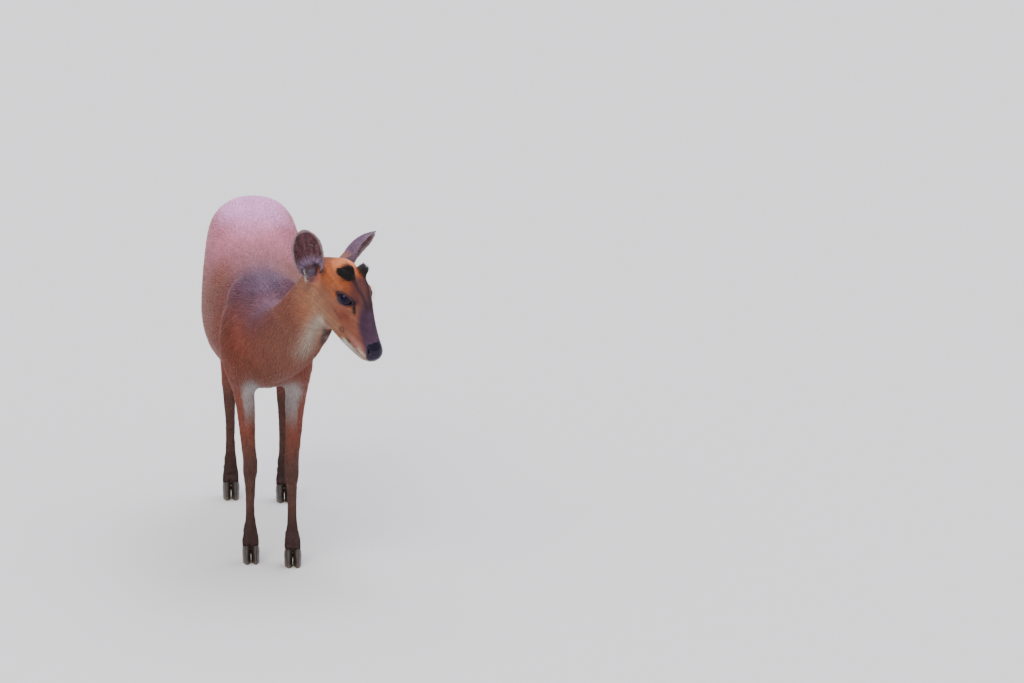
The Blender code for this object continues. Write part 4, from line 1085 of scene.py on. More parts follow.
@dataclass(frozen=True)
class Roll:
    """How a region of skin is unrolled: round an axis, and along it with its ends opened out."""

    centre: Point
    axis: Point
    start: Point
    reach: float
    radius: float

    def spots(self, points: Array) -> Array:
        """Places on the unrolled skin, before they are fitted to the square."""
        axis = unit(np.array(self.axis, float))
        start = np.array(self.start, float)
        start = unit(start - axis * (start @ axis))
        other = np.cross(axis, start)
        local = points - np.array(self.centre)
        along = local @ axis
        a, b = local @ start, local @ other
        out = np.hypot(a, b)
        angle = np.arctan2(b, a)
        ends = np.tanh(along / (0.6 * self.reach))
        return np.stack([angle * self.radius, along + ends * (self.radius - out)], axis=1)


def fitted(spots: Array) -> Array:
    """Spots on an unrolled skin, fitted to the unit square with a margin for the patches."""
    low, high = spots.min(axis=0), spots.max(axis=0)
    return PATCH + (spots - low) / np.maximum(high - low, 1e-9) * (1 - 2 * PATCH)


# Skin


@dataclass
class Skin:
    """One closed skin over the whole body, inside the coat's surface by the coat's depth."""

    voxel: float = 3.6 * MM
    broad_steps: int = 22
    fine_steps: int = 3
    mouth_shade_middle: Point = (0.036, 0.0, 0.0)
    mouth_shade_turn: float = math.radians(136)
    mouth_shade_front: float = -0.0118
    mouth_shade_corner: float = -0.0208
    nostril: Point = (0.0105, 0.0128, 0.0022)
    nostril_depth: float = 4.5 * MM
    grown: float = 0.35 * MM

    def flesh(self) -> list[str]:
        """The CAD nodes that the skin stands for."""
        legs = [f"{part}_leg_{leg}_{side}" for part in ("upper", "lower") for leg in ("fore", "hind")
                for side in ("left", "right")]
        return ["head", "neck", "torso", "tail"] + legs

    def bare_head(self) -> bmesh.types.BMesh:
        """The head without the knobs' long hair, which is pressed back on the crown and the knobs."""
        made = node_copy("head", self.grown)
        h = on_head(np.array([vertex.co for vertex in made.verts]))
        x, z = h[:, 0], h[:, 2]
        side = np.sign(h[:, 1])
        rows = ((0.0306, 0.0336, 0.0352, 0.0352, 0.0345),
                (0.0502, 0.0560, 0.0590, 0.0572, 0.0500),
                (0.011, 0.015, 0.014, 0.012, 0.011))
        wide, top, middle = (np.interp(x, (0.090, 0.108, 0.128, 0.148, 0.162), row) for row in rows)
        rise = np.maximum(z - middle, 0)
        out = ((np.abs(h[:, 1]) / wide) ** 2.3 + (rise / (top - middle)) ** 2.3) ** (1 / 2.3)
        mirror = np.column_stack([x, np.abs(h[:, 1]), z])
        knob = np.array(HEAD.knob_place)
        local = (mirror - knob) / np.array((0.0100, 0.0082, 0.0088))
        reach = np.linalg.norm(local, axis=1).clip(1e-6)
        crown = np.column_stack([x, mirror[:, 1] / out.clip(1), middle + (z - middle) / out.clip(1)])
        ball = knob + (mirror - knob) / reach[:, None]
        nearer = np.linalg.norm(crown - mirror, axis=1) < np.linalg.norm(ball - mirror, axis=1)
        target = np.where(nearer[:, None], crown, ball)
        loose = (out > 1) & (reach > 1) & (z > 0.02)
        near = step(0.108, 0.114, x) * step(0.036, 0.030, np.linalg.norm(mirror - knob, axis=1)) * loose
        moved = mirror + (target - mirror) * near[:, None]
        moved[:, 1] *= side
        placed = moved * HEAD.size @ HEAD_TURN.T + HEAD_ORIGIN
        for vertex, place in zip(made.verts, placed):
            vertex.co = place
        return made

    def tail_core(self) -> bmesh.types.BMesh:
        """The tail's flesh, thinner than its outline by its hair."""
        made = bmesh.new()
        around = 18
        steps = np.linspace(0, len(TAIL_LINE) - 1, 26)
        rows = np.stack([np.interp(steps, range(len(TAIL_LINE)), TAIL_LINE[:, k]) for k in range(4)], axis=1)
        ways = unit(np.gradient(rows[:, :2], axis=0))
        rings = []
        for (back, high, wide, deep), (ahead, rise) in zip(rows, ways):
            ring = []
            for k in range(around):
                angle = 2 * math.pi * k / around
                out = 0.72 * deep * math.sin(angle)
                place = Vector((0.80 * wide * math.cos(angle), back - rise * out, high + ahead * out))
                ring.append(made.verts.new(place + Vector(SHIFT)))
            rings.append(ring)
        for first, second in zip(rings, rings[1:]):
            for k in range(around):
                made.faces.new((first[k], first[(k + 1) % around], second[(k + 1) % around], second[k]))
        made.faces.new(rings[0])
        made.faces.new(rings[-1])
        bmesh.ops.recalc_face_normals(made, faces=made.faces)
        return made

    def refine(self, made: bmesh.types.BMesh, chosen: Callable[[Array], Array]) -> None:
        """Subdivides the faces that a rule chooses by their centres."""
        made.faces.ensure_lookup_table()
        centres = np.array([face.calc_center_median() for face in made.faces])
        inside = chosen(centres)
        edges = {edge for face, wanted in zip(made.faces, inside) if wanted for edge in face.edges}
        bmesh.ops.subdivide_edges(made, edges=list(edges), cuts=1, use_grid_fill=True)

    def face_region(self, points: Array) -> Array:
        """Whether places are on the muzzle's end or round an eye, where the mesh is finest."""
        h = on_head(points)
        close = (h[:, 0] < 0.062) & (np.abs(h[:, 2]) < 0.06) & (np.abs(h[:, 1]) < 0.04)
        for side, _ in SIDES:
            close |= off_eye(h, side) < 0.0255
        return close

    def depth(self, points: Array) -> Array:
        """How deep the skin lies below the coat's surface."""
        p, h = on_body(points), on_head(points)
        share = head_share(points)
        body = 2.3 * MM - 1.6 * MM * step(0.30, 0.20, p[:, 2])
        body = np.where(on_tail(p), 0.3 * MM, body)
        head = 0.15 * MM + 1.0 * MM * step(0.015, 0.060, h[:, 0]) + 0.8 * MM * step(0.11, 0.16, h[:, 0])
        return body * (1 - share) + head * share

    def mouth_shade(self, h: Array) -> tuple[Array, Array]:
        """Height above the mouth's line and the share of the way to its corner, on the head."""
        share = np.abs(np.arctan2(h[:, 1], -(h[:, 0] - self.mouth_shade_middle[0]))) / self.mouth_shade_turn
        line = self.mouth_shade_front + (self.mouth_shade_corner - self.mouth_shade_front) * np.clip(share, 0, 1) ** 0.8
        line = line + 0.0030 * np.clip((share - 0.88) / 0.12, 0, 1)
        return h[:, 2] - line, share

    def in_nostril(self, h: Array, side: int) -> Array:
        """How far places of the head's frame are inside a nostril, a comma that curls back and up."""
        local = (h - np.array(mirrored(self.nostril, side))) / MM
        curl = local[:, 2] - 0.45 * (local[:, 0] - 1.0) - 0.07 * local[:, 0] ** 2
        out = np.sqrt((local[:, 0] / 5.0) ** 2 + (local[:, 1] / 6.0) ** 2 + (curl / 2.2) ** 2)
        return step(1.15, 0.60, out)

    def carve(self, points: Array, normals: Array) -> Array:
        """Moves the skin for the eyes' openings, lids, glands, mouth, lips and nostrils."""
        h = on_head(points)
        near = (head_share(points) > 0.5) & (h[:, 0] < 0.075) & (np.abs(h[:, 1]) < 0.04)
        above, share = self.mouth_shade(h)
        taper = step(1.0, 0.88, share) * near
        groove = 1.7 * MM * bell(above, 0.95 * MM) * taper
        lips = 0.55 * MM * bell(np.abs(above) - 2.3 * MM, 1.3 * MM) * taper
        pad = 0.8 * MM * nose_pad(h) * near
        points = points + normals * (lips - groove + pad)[:, None]
        for side, _ in SIDES:
            inwards = HEAD_TURN @ unit(np.array((0.75, -0.66 * side, 0.0)))
            hole = self.in_nostril(h, side) * near
            points = points + inwards * (hole * self.nostril_depth)[:, None]
        for side, _ in SIDES:
            points = self.open_eye(points, side)
        return points

    def open_eye(self, points: Array, side: int) -> Array:
        """Presses the skin behind the eyeball in the lids' opening, and round the ball beside it."""
        forward = np.array(EYE.matrix(side))
        local = in_eye(points, side)
        out = EYE.spread(local)
        flat = (local[:, :2] ** 2).sum(axis=1)
        here = before_eye(local, 0.032)
        height = local[:, 2].copy()
        lid = np.sqrt(np.maximum((EYE.radius + 1.1 * MM) ** 2 - flat, (3.0 * MM) ** 2))
        hug = step(1.85, 1.15, out) * here
        height = height * (1 - hug) + np.minimum(height, lid) * hug
        upper = (local[:, 1] * EYE.upwards(side)) > 0
        crease = bell(out - 1.50, 0.13) * np.where(upper, 0.75, 0.35) * MM * here
        swell = bell(out - 1.95, 0.30) * np.where(upper, 0.7, 0.2) * MM * here
        gland = bell(EYE.off_gland(points), 1.5 * MM)
        height = height - crease + swell - 1.4 * MM * gland * here
        inner = np.sqrt(np.maximum((EYE.radius * 0.80) ** 2 - flat, (2.0 * MM) ** 2))
        opened = here & (out < 1.02)
        height = np.where(opened, np.minimum(inner, height), height)
        local = np.column_stack([local[:, 0], local[:, 1], height])
        return local @ forward[:3, :3].T + forward[:3, 3]

    def build(self) -> bpy.types.Object:
        """Makes the skin and paints its markings."""
        pieces = [node_copy(name, self.grown) for name in self.flesh() if name not in ("head", "tail")]
        pieces += [self.bare_head(), self.tail_core()]
        pieces += [node_copy("eye_" + label, 0.5 * MM) for _, label in SIDES]
        item = remeshed("skin", pieces, self.voxel)
        made = bmesh.new()
        made.from_mesh(item.data)
        self.refine(made, lambda c: head_share(c) > 0.5)
        self.refine(made, self.face_region)
        bmesh.ops.triangulate(made, faces=made.faces)
        made.to_mesh(item.data)
        made.free()
        points = coordinates(item.data)
        p, share = on_body(points), head_share(points)
        broad = 0.12 + 0.88 * step(0.225, 0.31, p[:, 2]) * step(0.300, 0.285, p[:, 1])
        broad = broad * (1 - share) + 0.40 * share
        relax(item.data, broad, self.broad_steps, 60)
        relax(item.data, np.ones(len(points)), self.fine_steps)
        points, normals = coordinates(item.data), normals_of(item.data)
        points = points - normals * self.depth(points)[:, None]
        place_vertices(item.data, self.carve(points, normals))
        points, normals = coordinates(item.data), normals_of(item.data)
        paint(item.data, "coat_colour", self.colours(points, normals))
        h = on_head(points)
        write_values(item.data, "wet", nose_pad(h) * (head_share(points) > 0.5))
        item.data.shade_smooth()
        item.data.materials.append(SKIN_FINISH.build())
        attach(item, "root")
        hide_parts(*self.flesh())
        return item

    def colours(self, points: Array, normals: Array) -> Array:
        """The skin's colours: the coat's markings a little darker, and near black in the mouth's slit and
        nostrils, painted shade of these hollows.
        """
        h, on = on_head(points), head_share(points) > 0.5
        above, share = self.mouth_shade(h)
        line = bell(above, 1.1 * MM) * step(1.0, 0.93, share) * on * (h[:, 0] < 0.075)
        for side, _ in SIDES:
            line = np.maximum(line, self.in_nostril(h, side) * on)
        return mixed(coat_colours(points, normals) * 0.72, Tone.MOUTH_SHADE, line)


# Coat


class Region(Enum):
    """The regions of the coat, each unrolled round its own axis."""

    TORSO = 0
    NECK = 1
    UPPER_LEGS = 2
    LOWER_LEGS = 3
    TAIL = 4
    HEAD = 5


@dataclass
class Coat:
    """Short tufts over the whole skin, longer where the coat is, and none where skin is bare."""

    skin: Surface
    carver: Skin
    cover: float = 1.36
    crowd: float = 2.2
    cell_step: float = 1.2
    rng: np.random.Generator = field(default_factory=lambda: np.random.default_rng(SEED))

    def length(self, points: Array) -> Array:
        """How long the tufts are."""
        p, h = on_body(points), on_head(points)
        share = head_share(points)
        body = 13.5 * MM - 3.0 * MM * step(0.33, 0.26, p[:, 2]) - 2.6 * MM * step(0.24, 0.17, p[:, 2])
        body = body - 1.2 * MM * step(0.10, 0.05, p[:, 2])
        body = body + 3.0 * MM * blob(p, (0.085, -0.345, 0.42), (0.035, 0.03, 0.05))
        body = body + 2.0 * MM * step(0.25, 0.285, p[:, 1]) * step(0.42, 0.36, p[:, 2])
        head = 1.9 * MM + 2.4 * MM * step(0.012, 0.060, h[:, 0]) + 3.4 * MM * step(0.075, 0.165, h[:, 0])
        for side, _ in SIDES:
            reach = off_eye(h, side)
            head = head * (1 - 0.45 * step(0.034, 0.018, reach))
        head = head + 3.2 * MM * self.beard(h)
        return body * (1 - share) + head * share

    def beard(self, h: Array) -> Array:
        """How much longer the hair is below the lower lip."""
        return blob(h * (1, 0, 1), (0.048, 0.0, -0.030), (0.022, 1.0, 0.010))

    def width(self, lengths: Array) -> Array:
        """How wide tufts of those lengths are."""
        return np.clip(0.105 * lengths, 0.46 * MM, 1.38 * MM)

    def hairy(self, points: Array) -> Array:
        """How much hair grows at places: none on nose, lids, lips' edges and under the ears' roots."""
        h = on_head(points)
        share = head_share(points) > 0.5
        nose = nose_pad(h)
        above, along = self.carver.mouth_shade(h)
        lips = (np.abs(above) < 0.9 * MM) & (along < 1.0) & (h[:, 0] < 0.075)
        left = np.where(share & (lips | (nose > 0.5)), 0.0, 1.0)
        for side, _ in SIDES:
            local = in_eye(points, side)
            near = before_eye(local, 0.030)
            left = np.where(near & (EYE.spread(local) < 1.22), 0.0, left)
        return left

    def roots(self) -> tuple[Array, Array]:
        """Evenly scattered places on the skin, with its normals there."""
        points, normals, faces, area = self.skin.points, self.skin.normals, self.skin.faces, self.skin.area
        lengths = self.length(self.skin.middle)
        rate = self.cover / (lengths * self.width(lengths) * 0.5) * self.hairy(self.skin.middle)
        count = np.floor(area * rate * self.crowd + self.rng.random(len(area))).astype(int)
        owner = np.repeat(np.arange(len(faces)), count)
        u, v = self.rng.random(len(owner)), self.rng.random(len(owner))
        over = u + v > 1
        u, v = np.where(over, 1 - u, u)[:, None], np.where(over, 1 - v, v)[:, None]
        picked = faces[owner]
        found = points[picked[:, 0]] * (1 - u - v) + points[picked[:, 1]] * u + points[picked[:, 2]] * v
        facing = normals[picked[:, 0]] * (1 - u - v) + normals[picked[:, 1]] * u + normals[picked[:, 2]] * v
        spacing = 1.02 / np.sqrt(rate[owner].clip(1e-6))
        level = np.round(np.log(spacing) / math.log(self.cell_step))
        cell = self.cell_step ** level
        keys = np.column_stack([np.floor(found / cell[:, None]), level]).astype(np.int64)
        order = self.rng.permutation(len(keys))
        _, first = np.unique(keys[order], axis=0, return_index=True)
        kept = np.sort(order[first])
        return found[kept], unit(facing[kept])

    def grow(self) -> Tufts:
        """All the short tufts of the body and head."""
        roots, normals = self.roots()
        count = len(roots)
        lies = COMB.lie(roots, normals)
        across = np.cross(normals, lies)
        swirl = 0.09 * mottle(roots, 0.030, 5) + self.rng.normal(0, 0.09, count)
        lies = unit(lies + across * swirl[:, None])
        share = head_share(roots)
        lengths = self.length(roots)
        widths = self.width(lengths)
        lift = (0.17 + 0.025 * mottle(roots, 0.014, 6) + self.rng.normal(0, 0.03, count)).clip(0.07, 0.45)
        lift = lift + (0.05 + 0.45 * self.beard(on_head(roots))) * share
        colours = coat_colours(roots + normals * 0.001, normals)
        streaks = 0.24 * mottle(on_head(roots) * (0.28, 1, 1), 0.0050, 9) * share
        streaks = streaks + 0.09 * mottle(on_body(roots) * (1, 0.35, 0.5), 0.007, 10) * (1 - share)
        tone = np.exp(self.rng.normal(0, 0.09, count) + 0.06 * mottle(roots, 0.03, 7) + streaks)[:, None]
        colours = colours * tone
        pale = (self.rng.random(count) < 0.05)[:, None] * 0.22
        tips = colours * 1.04 * (1 - pale) + (colours * 0.5 + linear("#D9B48C") * 0.4) * pale
        lengths = lengths * self.rng.uniform(0.78, 1.18, count)
        bend = self.rng.normal(0, 0.10, count)
        return Tufts(roots, normals, lies, lengths, widths, lift, colours * 0.76, tips, bend)

    def region(self, points: Array) -> Array:
        """Which coat piece each place belongs to, as a number of Region."""
        p = on_body(points)
        found = np.full(len(points), Region.TORSO.value)
        found[(p[:, 2] < 0.335) & (np.abs(p[:, 0]) > 0.012) & (legs_near(p))] = Region.UPPER_LEGS.value
        found[p[:, 2] < 0.185] = Region.LOWER_LEGS.value
        found[(neck_share(p) > 0.5) & (p[:, 2] > 0.35)] = Region.NECK.value
        found[on_tail(p)] = Region.TAIL.value
        found[head_share(points) > 0.5] = Region.HEAD.value
        return found


# Where each leg stands on the body, to the side and forwards
LEG_PLACES = ((0.042, -0.180), (-0.030, -0.168), (0.046, 0.200), (-0.046, 0.215))


def legs_near(p: Array) -> Array:
    """Whether places of the body's frame are within a leg's own column."""
    found = np.zeros(len(p), bool)
    for x, y in LEG_PLACES:
        found |= (np.abs(p[:, 0] - x) < 0.05) & (np.abs(p[:, 1] - y) < 0.085)
    return found


ROLLS = {
    Region.TORSO: Roll((0.0, 0.02, 0.405), (0, 1, 0), (0, 0, -1), 0.25, 0.10),
    Region.NECK: Roll((0.045, -0.250, 0.440), (0.50, -0.65, 0.57), (1, 0.6, -0.4), 0.09, 0.06),
    Region.TAIL: Roll((0.0, 0.305, 0.39), (0, 0, 1), (0, -1, 0), 0.07, 0.018),
    Region.HEAD: Roll((0.100, 0.0, 0.004), (1, 0, 0), (0, 0, -1), 0.08, 0.035),
}
LEG_RADIUS = 0.022
SLOTS = {Region.TORSO: "chestnut_coat", Region.NECK: "chestnut_coat", Region.UPPER_LEGS: "chestnut_coat",
         Region.LOWER_LEGS: "dusky_leg_coat", Region.TAIL: "tail_hair", Region.HEAD: "rufous_face"}


def unrolled(region: Region, points: Array) -> Array:
    """Spots of a region's roots on its own unrolled skin, fitted to the square."""
    p = on_body(points)
    if region in ROLLS:
        return fitted(ROLLS[region].spots(on_head(points) if region is Region.HEAD else p))
    spots = np.zeros((len(p), 2))
    nearest = np.stack([np.hypot(p[:, 0] - x, p[:, 1] - y) for x, y in LEG_PLACES]).argmin(axis=0)
    for i, (x, y) in enumerate(LEG_PLACES):
        mine = nearest == i
        spots[mine] = Roll((x, y, 0.15), (0, 0, 1), (0.5, 0.8, 0), 5.0, LEG_RADIUS).spots(p[mine])
        spots[mine, 0] += i * LEG_RADIUS * 7.0
    return fitted(spots)


def build_coat_pieces(tufts: Tufts, numbers: Array, material: bpy.types.Material) -> int:
    """Makes the coat's pieces region by region, each under the limit of triangles.

    Args:
        tufts: All the tufts.
        numbers: Each tuft's region.
        material: The finish of hair.

    Returns:
        How many triangles they have.
    """
    total = 0
    for region in Region:
        chosen = np.flatnonzero(numbers == region.value)
        spots = unrolled(region, tufts.roots[chosen])
        order = np.argsort(spots[:, 1], kind="stable")
        parts = math.ceil(len(chosen) * len(TUFT_FACES) / PIECE_LIMIT)
        for i, rows in enumerate(np.array_split(order, parts)):
            name = f"coat_{region.name.lower()}" + (f"_{i + 1}" if parts > 1 else "")
            item = tufts.part(chosen[rows]).build(name, fitted(spots[rows]))
            item.data.materials.append(material)
            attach(item, "root")
            SLOTS[region]
            total += len(rows) * len(TUFT_FACES)
            log.info("%s: %d tufts", name, len(rows))
    return total


# Long hair


@dataclass
class KnobTufts:
    """The black tufts of the two bony knobs, each drawn together to a point behind and beside its knob."""

    skin: Surface
    counts: tuple[int, int] = (500, 1100)
    left_point: Point = (0.0085, 0.0050, 0.0085)
    right_point: Point = (0.0125, -0.0225, 0.0010)
    spread: float = 0.34
    width: float = 0.75 * MM
    # Painted light: how much lighter each tuft's black is drawn, for how light falls on it; the left tuft is
    # drawn lighter
    painted_light: tuple[float, float] = (1.9, 1.0)

    def grow(self, rng: np.random.Generator) -> Tufts:
        """Tufts rooted over both knobs, whose tips end near each tuft's point."""
        points, normals = self.skin.points, self.skin.normals
        h = on_head(points)
        made = []
        knobs = zip(SIDES, self.counts, (self.left_point, self.right_point), self.painted_light)
        for (side, _), count, point, tone in knobs:
            knob = np.array(mirrored(HEAD.knob_place, side))
            local = (h - knob) / np.array((0.0112, 0.0092, 0.0110))
            weight = ((local ** 2).sum(axis=1) < 1.15) * (h[:, 2] > 0.049)
            picked = rng.choice(len(points), count, p=weight / weight.sum())
            from_knob = h[picked] - knob
            goal = knob + np.array(point) + from_knob * self.spread + rng.normal(0, 0.9 * MM, (count, 3))
            ways = (goal - h[picked]) * rng.uniform(0.60, 1.04, (count, 1)) @ HEAD_TURN.T * HEAD.size
            normal = normals[picked]
            above = (ways * normal).sum(axis=1)
            flat = ways - normal * above[:, None]
            run = np.linalg.norm(flat, axis=1)
            rise = np.maximum(above, 0.12 * run + 1.2 * MM) / 0.55
            shade = rng.normal(0, 0.25, count)
            # Each tuft's black, lightened by its side's painted light
            colour = linear(Tone.TUFT.value) * np.exp(shade)[:, None] * tone
            roots = points[picked] + rng.normal(0, 0.4 * MM, (count, 3))
            made.append(Tufts(roots, normal, unit(flat), np.hypot(run, rise), np.full(count, self.width),
                              np.arctan2(rise, run), colour, colour * 1.25, rng.normal(0, 0.06, count)))
        return made[0].join(made[1])


@dataclass
class TailHair:
    """The tail's long hair: chestnut down its back and white along its edges and below."""

    skin: Surface
    count: int = 3600
    length: float = 32 * MM
    root_length: float = 11 * MM
    width: float = 1.3 * MM
    lowest: float = 0.298

    def grow(self, rng: np.random.Generator) -> Tufts:
        """Tufts rooted all round the tail's core."""
        points, faces, count = self.skin.points, self.skin.faces, self.count
        weight = self.skin.area * on_tail(on_body(self.skin.middle))
        owner = rng.choice(len(faces), count, p=weight / np.sum(weight))
        share = rng.dirichlet((1, 1, 1), count)
        corners = points[faces[owner]]
        roots = corners[:, 0] * share[:, :1] + corners[:, 1] * share[:, 1:2] + corners[:, 2] * share[:, 2:]
        normal = unit(self.skin.normals[faces[owner]].mean(axis=1))
        p = on_body(roots)
        line = tail_at(p[:, 2])
        lies = np.column_stack([p[:, 0] * 5.0, -line[:, 3] * 0.8, -np.ones(count)])
        lies = unit(lies) + rng.normal(0, 0.035, (count, 3))
        lies = unit(lies - normal * (lies * normal).sum(axis=1, keepdims=True))
        lengths = np.interp(p[:, 2], (0.412, 0.462), (self.length, self.root_length))
        lengths = np.minimum(lengths * rng.uniform(0.75, 1.10, count), (p[:, 2] - self.lowest).clip(8 * MM))
        under = step(0.30, -0.20, normal[:, 1]) + step(0.62, 0.86, np.abs(p[:, 0]) / line[:, 1])
        under = np.clip(under, 0, 1)
        base = step(0.452, 0.476, p[:, 2])[:, None]
        upper = linear(Tone.TAIL.value) * (1 - base) + MARKS.body(p, normal) * base
        colour = mixed(upper, Tone.WHITE, under * step(0.462, 0.445, p[:, 2]))
        colour = colour * np.exp(rng.normal(0, 0.10, count))[:, None]
        lift = rng.uniform(0.04, 0.13, count)
        return Tufts(roots, normal, lies, lengths, np.full(count, self.width), lift,
                     colour * 0.75, colour * 1.08, rng.normal(0, 0.04, count))


@dataclass
class Whiskers:
    """Dark whiskers on the muzzle and chin, and the lashes of the upper lids."""

    skin: Surface
    per_side: int = 14
    lashes: int = 26
    width: float = 0.22 * MM
    colour: str = "#1A1516"

    def grow(self, rng: np.random.Generator) -> Tufts:
        """Thin single hairs."""
        h = on_head(self.skin.points)
        roots, facing, ways, lengths = [], [], [], []
        for side, _ in SIDES:
            for _ in range(self.per_side):
                place = np.array((rng.uniform(0.014, 0.040), 0.016 * side, rng.uniform(-0.014, 0.002)))
                at = np.argmin(((h - place) ** 2).sum(axis=1))
                roots.append(self.skin.points[at])
                facing.append(self.skin.normals[at])
                ways.append(unit(np.array((0.25, 0.9 * side, -0.25)) + rng.normal(0, 0.18, 3)) @ HEAD_TURN.T)
                lengths.append(rng.uniform(12 * MM, 20 * MM))
            eye = np.array(EYE.matrix(side))
            up = EYE.upwards(side)
            for i in range(self.lashes):
                along = 0.40 * i / (self.lashes - 1)
                x, y = EYE.outline(0.05 + along if up > 0 else 0.95 - along)
                z = math.sqrt(max((EYE.radius + 1.6 * MM) ** 2 - x * x - y * y, 1e-6))
                out = np.array((x * 0.5, y * 1.3 + 0.002 * up, 0.012))
                roots.append(eye[:3, :3] @ np.array((x, y * 1.1, z)) + eye[:3, 3])
                facing.append(unit(eye[:3, :3] @ np.array((0, 0, 1.0))))
                ways.append(unit(eye[:3, :3] @ out))
                lengths.append(rng.uniform(5.5 * MM, 8.5 * MM))
        normal, way = unit(np.array(facing)), unit(np.array(ways))
        count = len(roots)
        above = (way * normal).sum(axis=1)
        lies = unit(way - normal * above[:, None] + 1e-6)
        colour = np.tile(linear(self.colour), (count, 1))
        return Tufts(np.array(roots), normal, lies, np.array(lengths), np.full(count, self.width),
                     np.arcsin(above.clip(0.1, 0.98)), colour, colour, np.zeros(count))


# Ears


@dataclass
class Ears:
    """Thin cupped ears, furred outside, with pale hairs inside and along the edge."""

    length: float = 0.0765
    half_width: float = 0.0250
    voxel: float = 0.9 * MM
    smooth_steps: int = 5
    root_reach: float = 8 * MM
    seam_lean: float = 0.55
    hairs: int = 2600
    hair_lengths: tuple[float, float] = (6.5 * MM, 5.5 * MM)
    hair_widths: tuple[float, float] = (0.42 * MM, 0.62 * MM)

    def axes(self, side: int) -> tuple[Array, Array, Array, Array]:
        """An ear's base and its axes along, facing and across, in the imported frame."""
        along, facing, across = HEAD.ear_axes(side)
        base = mirrored(HEAD.ear_place, side) + along * HEAD.ear_seam
        turned = [np.array(v) @ HEAD_TURN.T for v in (along, facing, across)]
        return (np.array(HEAD_MATRIX @ base), *turned)

    def cut(self, side: int) -> Array:
        """The direction across the cut between an ear and its root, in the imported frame."""
        along = HEAD.ear_axes(side)[0] + Vector((0, self.seam_lean * side, 0))
        return np.array(along.normalized()) @ HEAD_TURN.T

    def skin(self, side: int, label: str) -> bpy.types.Object:
        """The ear's own skin, with its root carried into the head."""
        base, way = self.axes(side)[0], self.cut(side)
        made = node_copy("ear_" + label)
        for vertex in made.verts:
            if (np.array(vertex.co) - base) @ way < 0.8 * MM:
                vertex.co -= Vector(way) * self.root_reach
        item = remeshed("ear_skin_" + label, [made], self.voxel)
        points = coordinates(item.data)
        relax(item.data, np.ones(len(points)), self.smooth_steps)
        points, normals = coordinates(item.data), normals_of(item.data)
        paint(item.data, "coat_colour", self.colours(points, normals, side) * 0.85)
        item.data.shade_smooth()
        return item

    def inside(self, points: Array, normals: Array, side: int) -> Array:
        """How much places face into the cup."""
        base, along, facing, _ = self.axes(side)
        high = (points - base) @ along
        middle = base + np.outer(high, along) + facing * 0.016
        toward = (unit(middle - points) * normals).sum(axis=1)
        return step(-0.15, 0.25, toward) * step(-0.04, 0.03, high / self.length)

    def colours(self, points: Array, normals: Array, side: int) -> Array:
        """Dark streaked cup, lilac low down, grey-brown back, rufous root, paler edge, white tuft."""
        base, along, facing, across = self.axes(side)
        share = (points - base) @ along / self.length
        inner = self.inside(points, normals, side)
        wide = (points - base) @ across
        outline = np.sqrt(np.clip(1 - ((share - 0.45) / 0.57) ** 2, 0, 1))
        edge = step(0.84, 1.0, np.abs(wide) / self.half_width / np.maximum(outline, 0.2))
        edge = edge + step(0.92, 1.0, share)
        back = linear(Tone.EAR_BACK.value) * (1 - 0.25 * step(0.5, 1.0, share))[:, None]
        root = step(0.22, 0.0, share)[:, None] * 0.8
        ground = np.tile(linear(Tone.CHEEK.value), (len(points), 1))
        back = back * (1 - root) + mixed(ground, Tone.EAR_DEEP, step(-0.35, 0.05, normals @ facing)) * root
        ray = np.arctan2(wide, (share + 0.10) * self.length)
        streak = np.sin(ray * 30 + 2.2 * mottle(points, 0.014, 9))[:, None]
        cup = np.tile(linear(Tone.EAR_CUP.value), (len(points), 1))
        cup = mixed(cup, Tone.EAR_LOW, step(0.36, 0.12, share))
        cup = mixed(cup, Tone.EAR_DEEP, step(0.15, 0.05, share) * 0.85) * (1 + 0.30 * streak)
        colours = back * (1 - inner[:, None]) + cup * inner[:, None]
        colours = mixed(colours, Tone.EAR_EDGE, np.clip(edge, 0, 1) * (0.10 + 0.50 * inner))
        tuft = off_line(on_head(points) * (1, side, 1), (0.1745, 0.0500, 0.009), (0.164, 0.0455, 0.001))
        return mixed(colours, Tone.WHITE, bell(tuft, 0.0038))

    def hair(self, item: bpy.types.Object, side: int, rng: np.random.Generator) -> tuple[Tufts, Array]:
        """Short hair on the back and in the cup, with its places on the flattened ear."""
        skin = Surface.of(item.data)
        base, along, _, across = self.axes(side)
        reach = (skin.middle - base) @ along / self.length
        inner = self.inside(skin.middle, skin.facing, side)
        weight = skin.area * np.where(reach > -0.05, 1, 0) * (1 - 0.55 * inner)
        count = self.hairs
        owner = rng.choice(len(skin.faces), count, p=weight / weight.sum())
        roots, normal = skin.middle[owner], unit(skin.normals[skin.faces[owner]].mean(axis=1))
        cupped, reach = inner[owner] > 0.5, reach[owner]
        wide = (roots - base) @ across / self.half_width
        ways = along[None] + across[None] * (np.where(cupped, -0.9, 0.15) * wide)[:, None]
        ways = ways + rng.normal(0, 0.10, (count, 3))
        lies = unit(ways - normal * (ways * normal).sum(axis=1, keepdims=True))
        lengths = np.where(cupped, *self.hair_lengths) * rng.uniform(0.7, 1.2, count)
        lengths = lengths * np.where(reach > 0.8, 0.75, 1.0)
        colours = self.colours(roots, normal, side) * np.exp(rng.normal(0, 0.16, count))[:, None]
        pale = (cupped & (rng.random(count) < 0.30 + 0.4 * (np.abs(wide) > 0.62)))[:, None]
        tips = np.where(pale, linear(Tone.EAR_HAIR.value) * 0.8, colours * 1.15)
        lift = np.where(cupped, 0.30, 0.16) + rng.normal(0, 0.04, count)
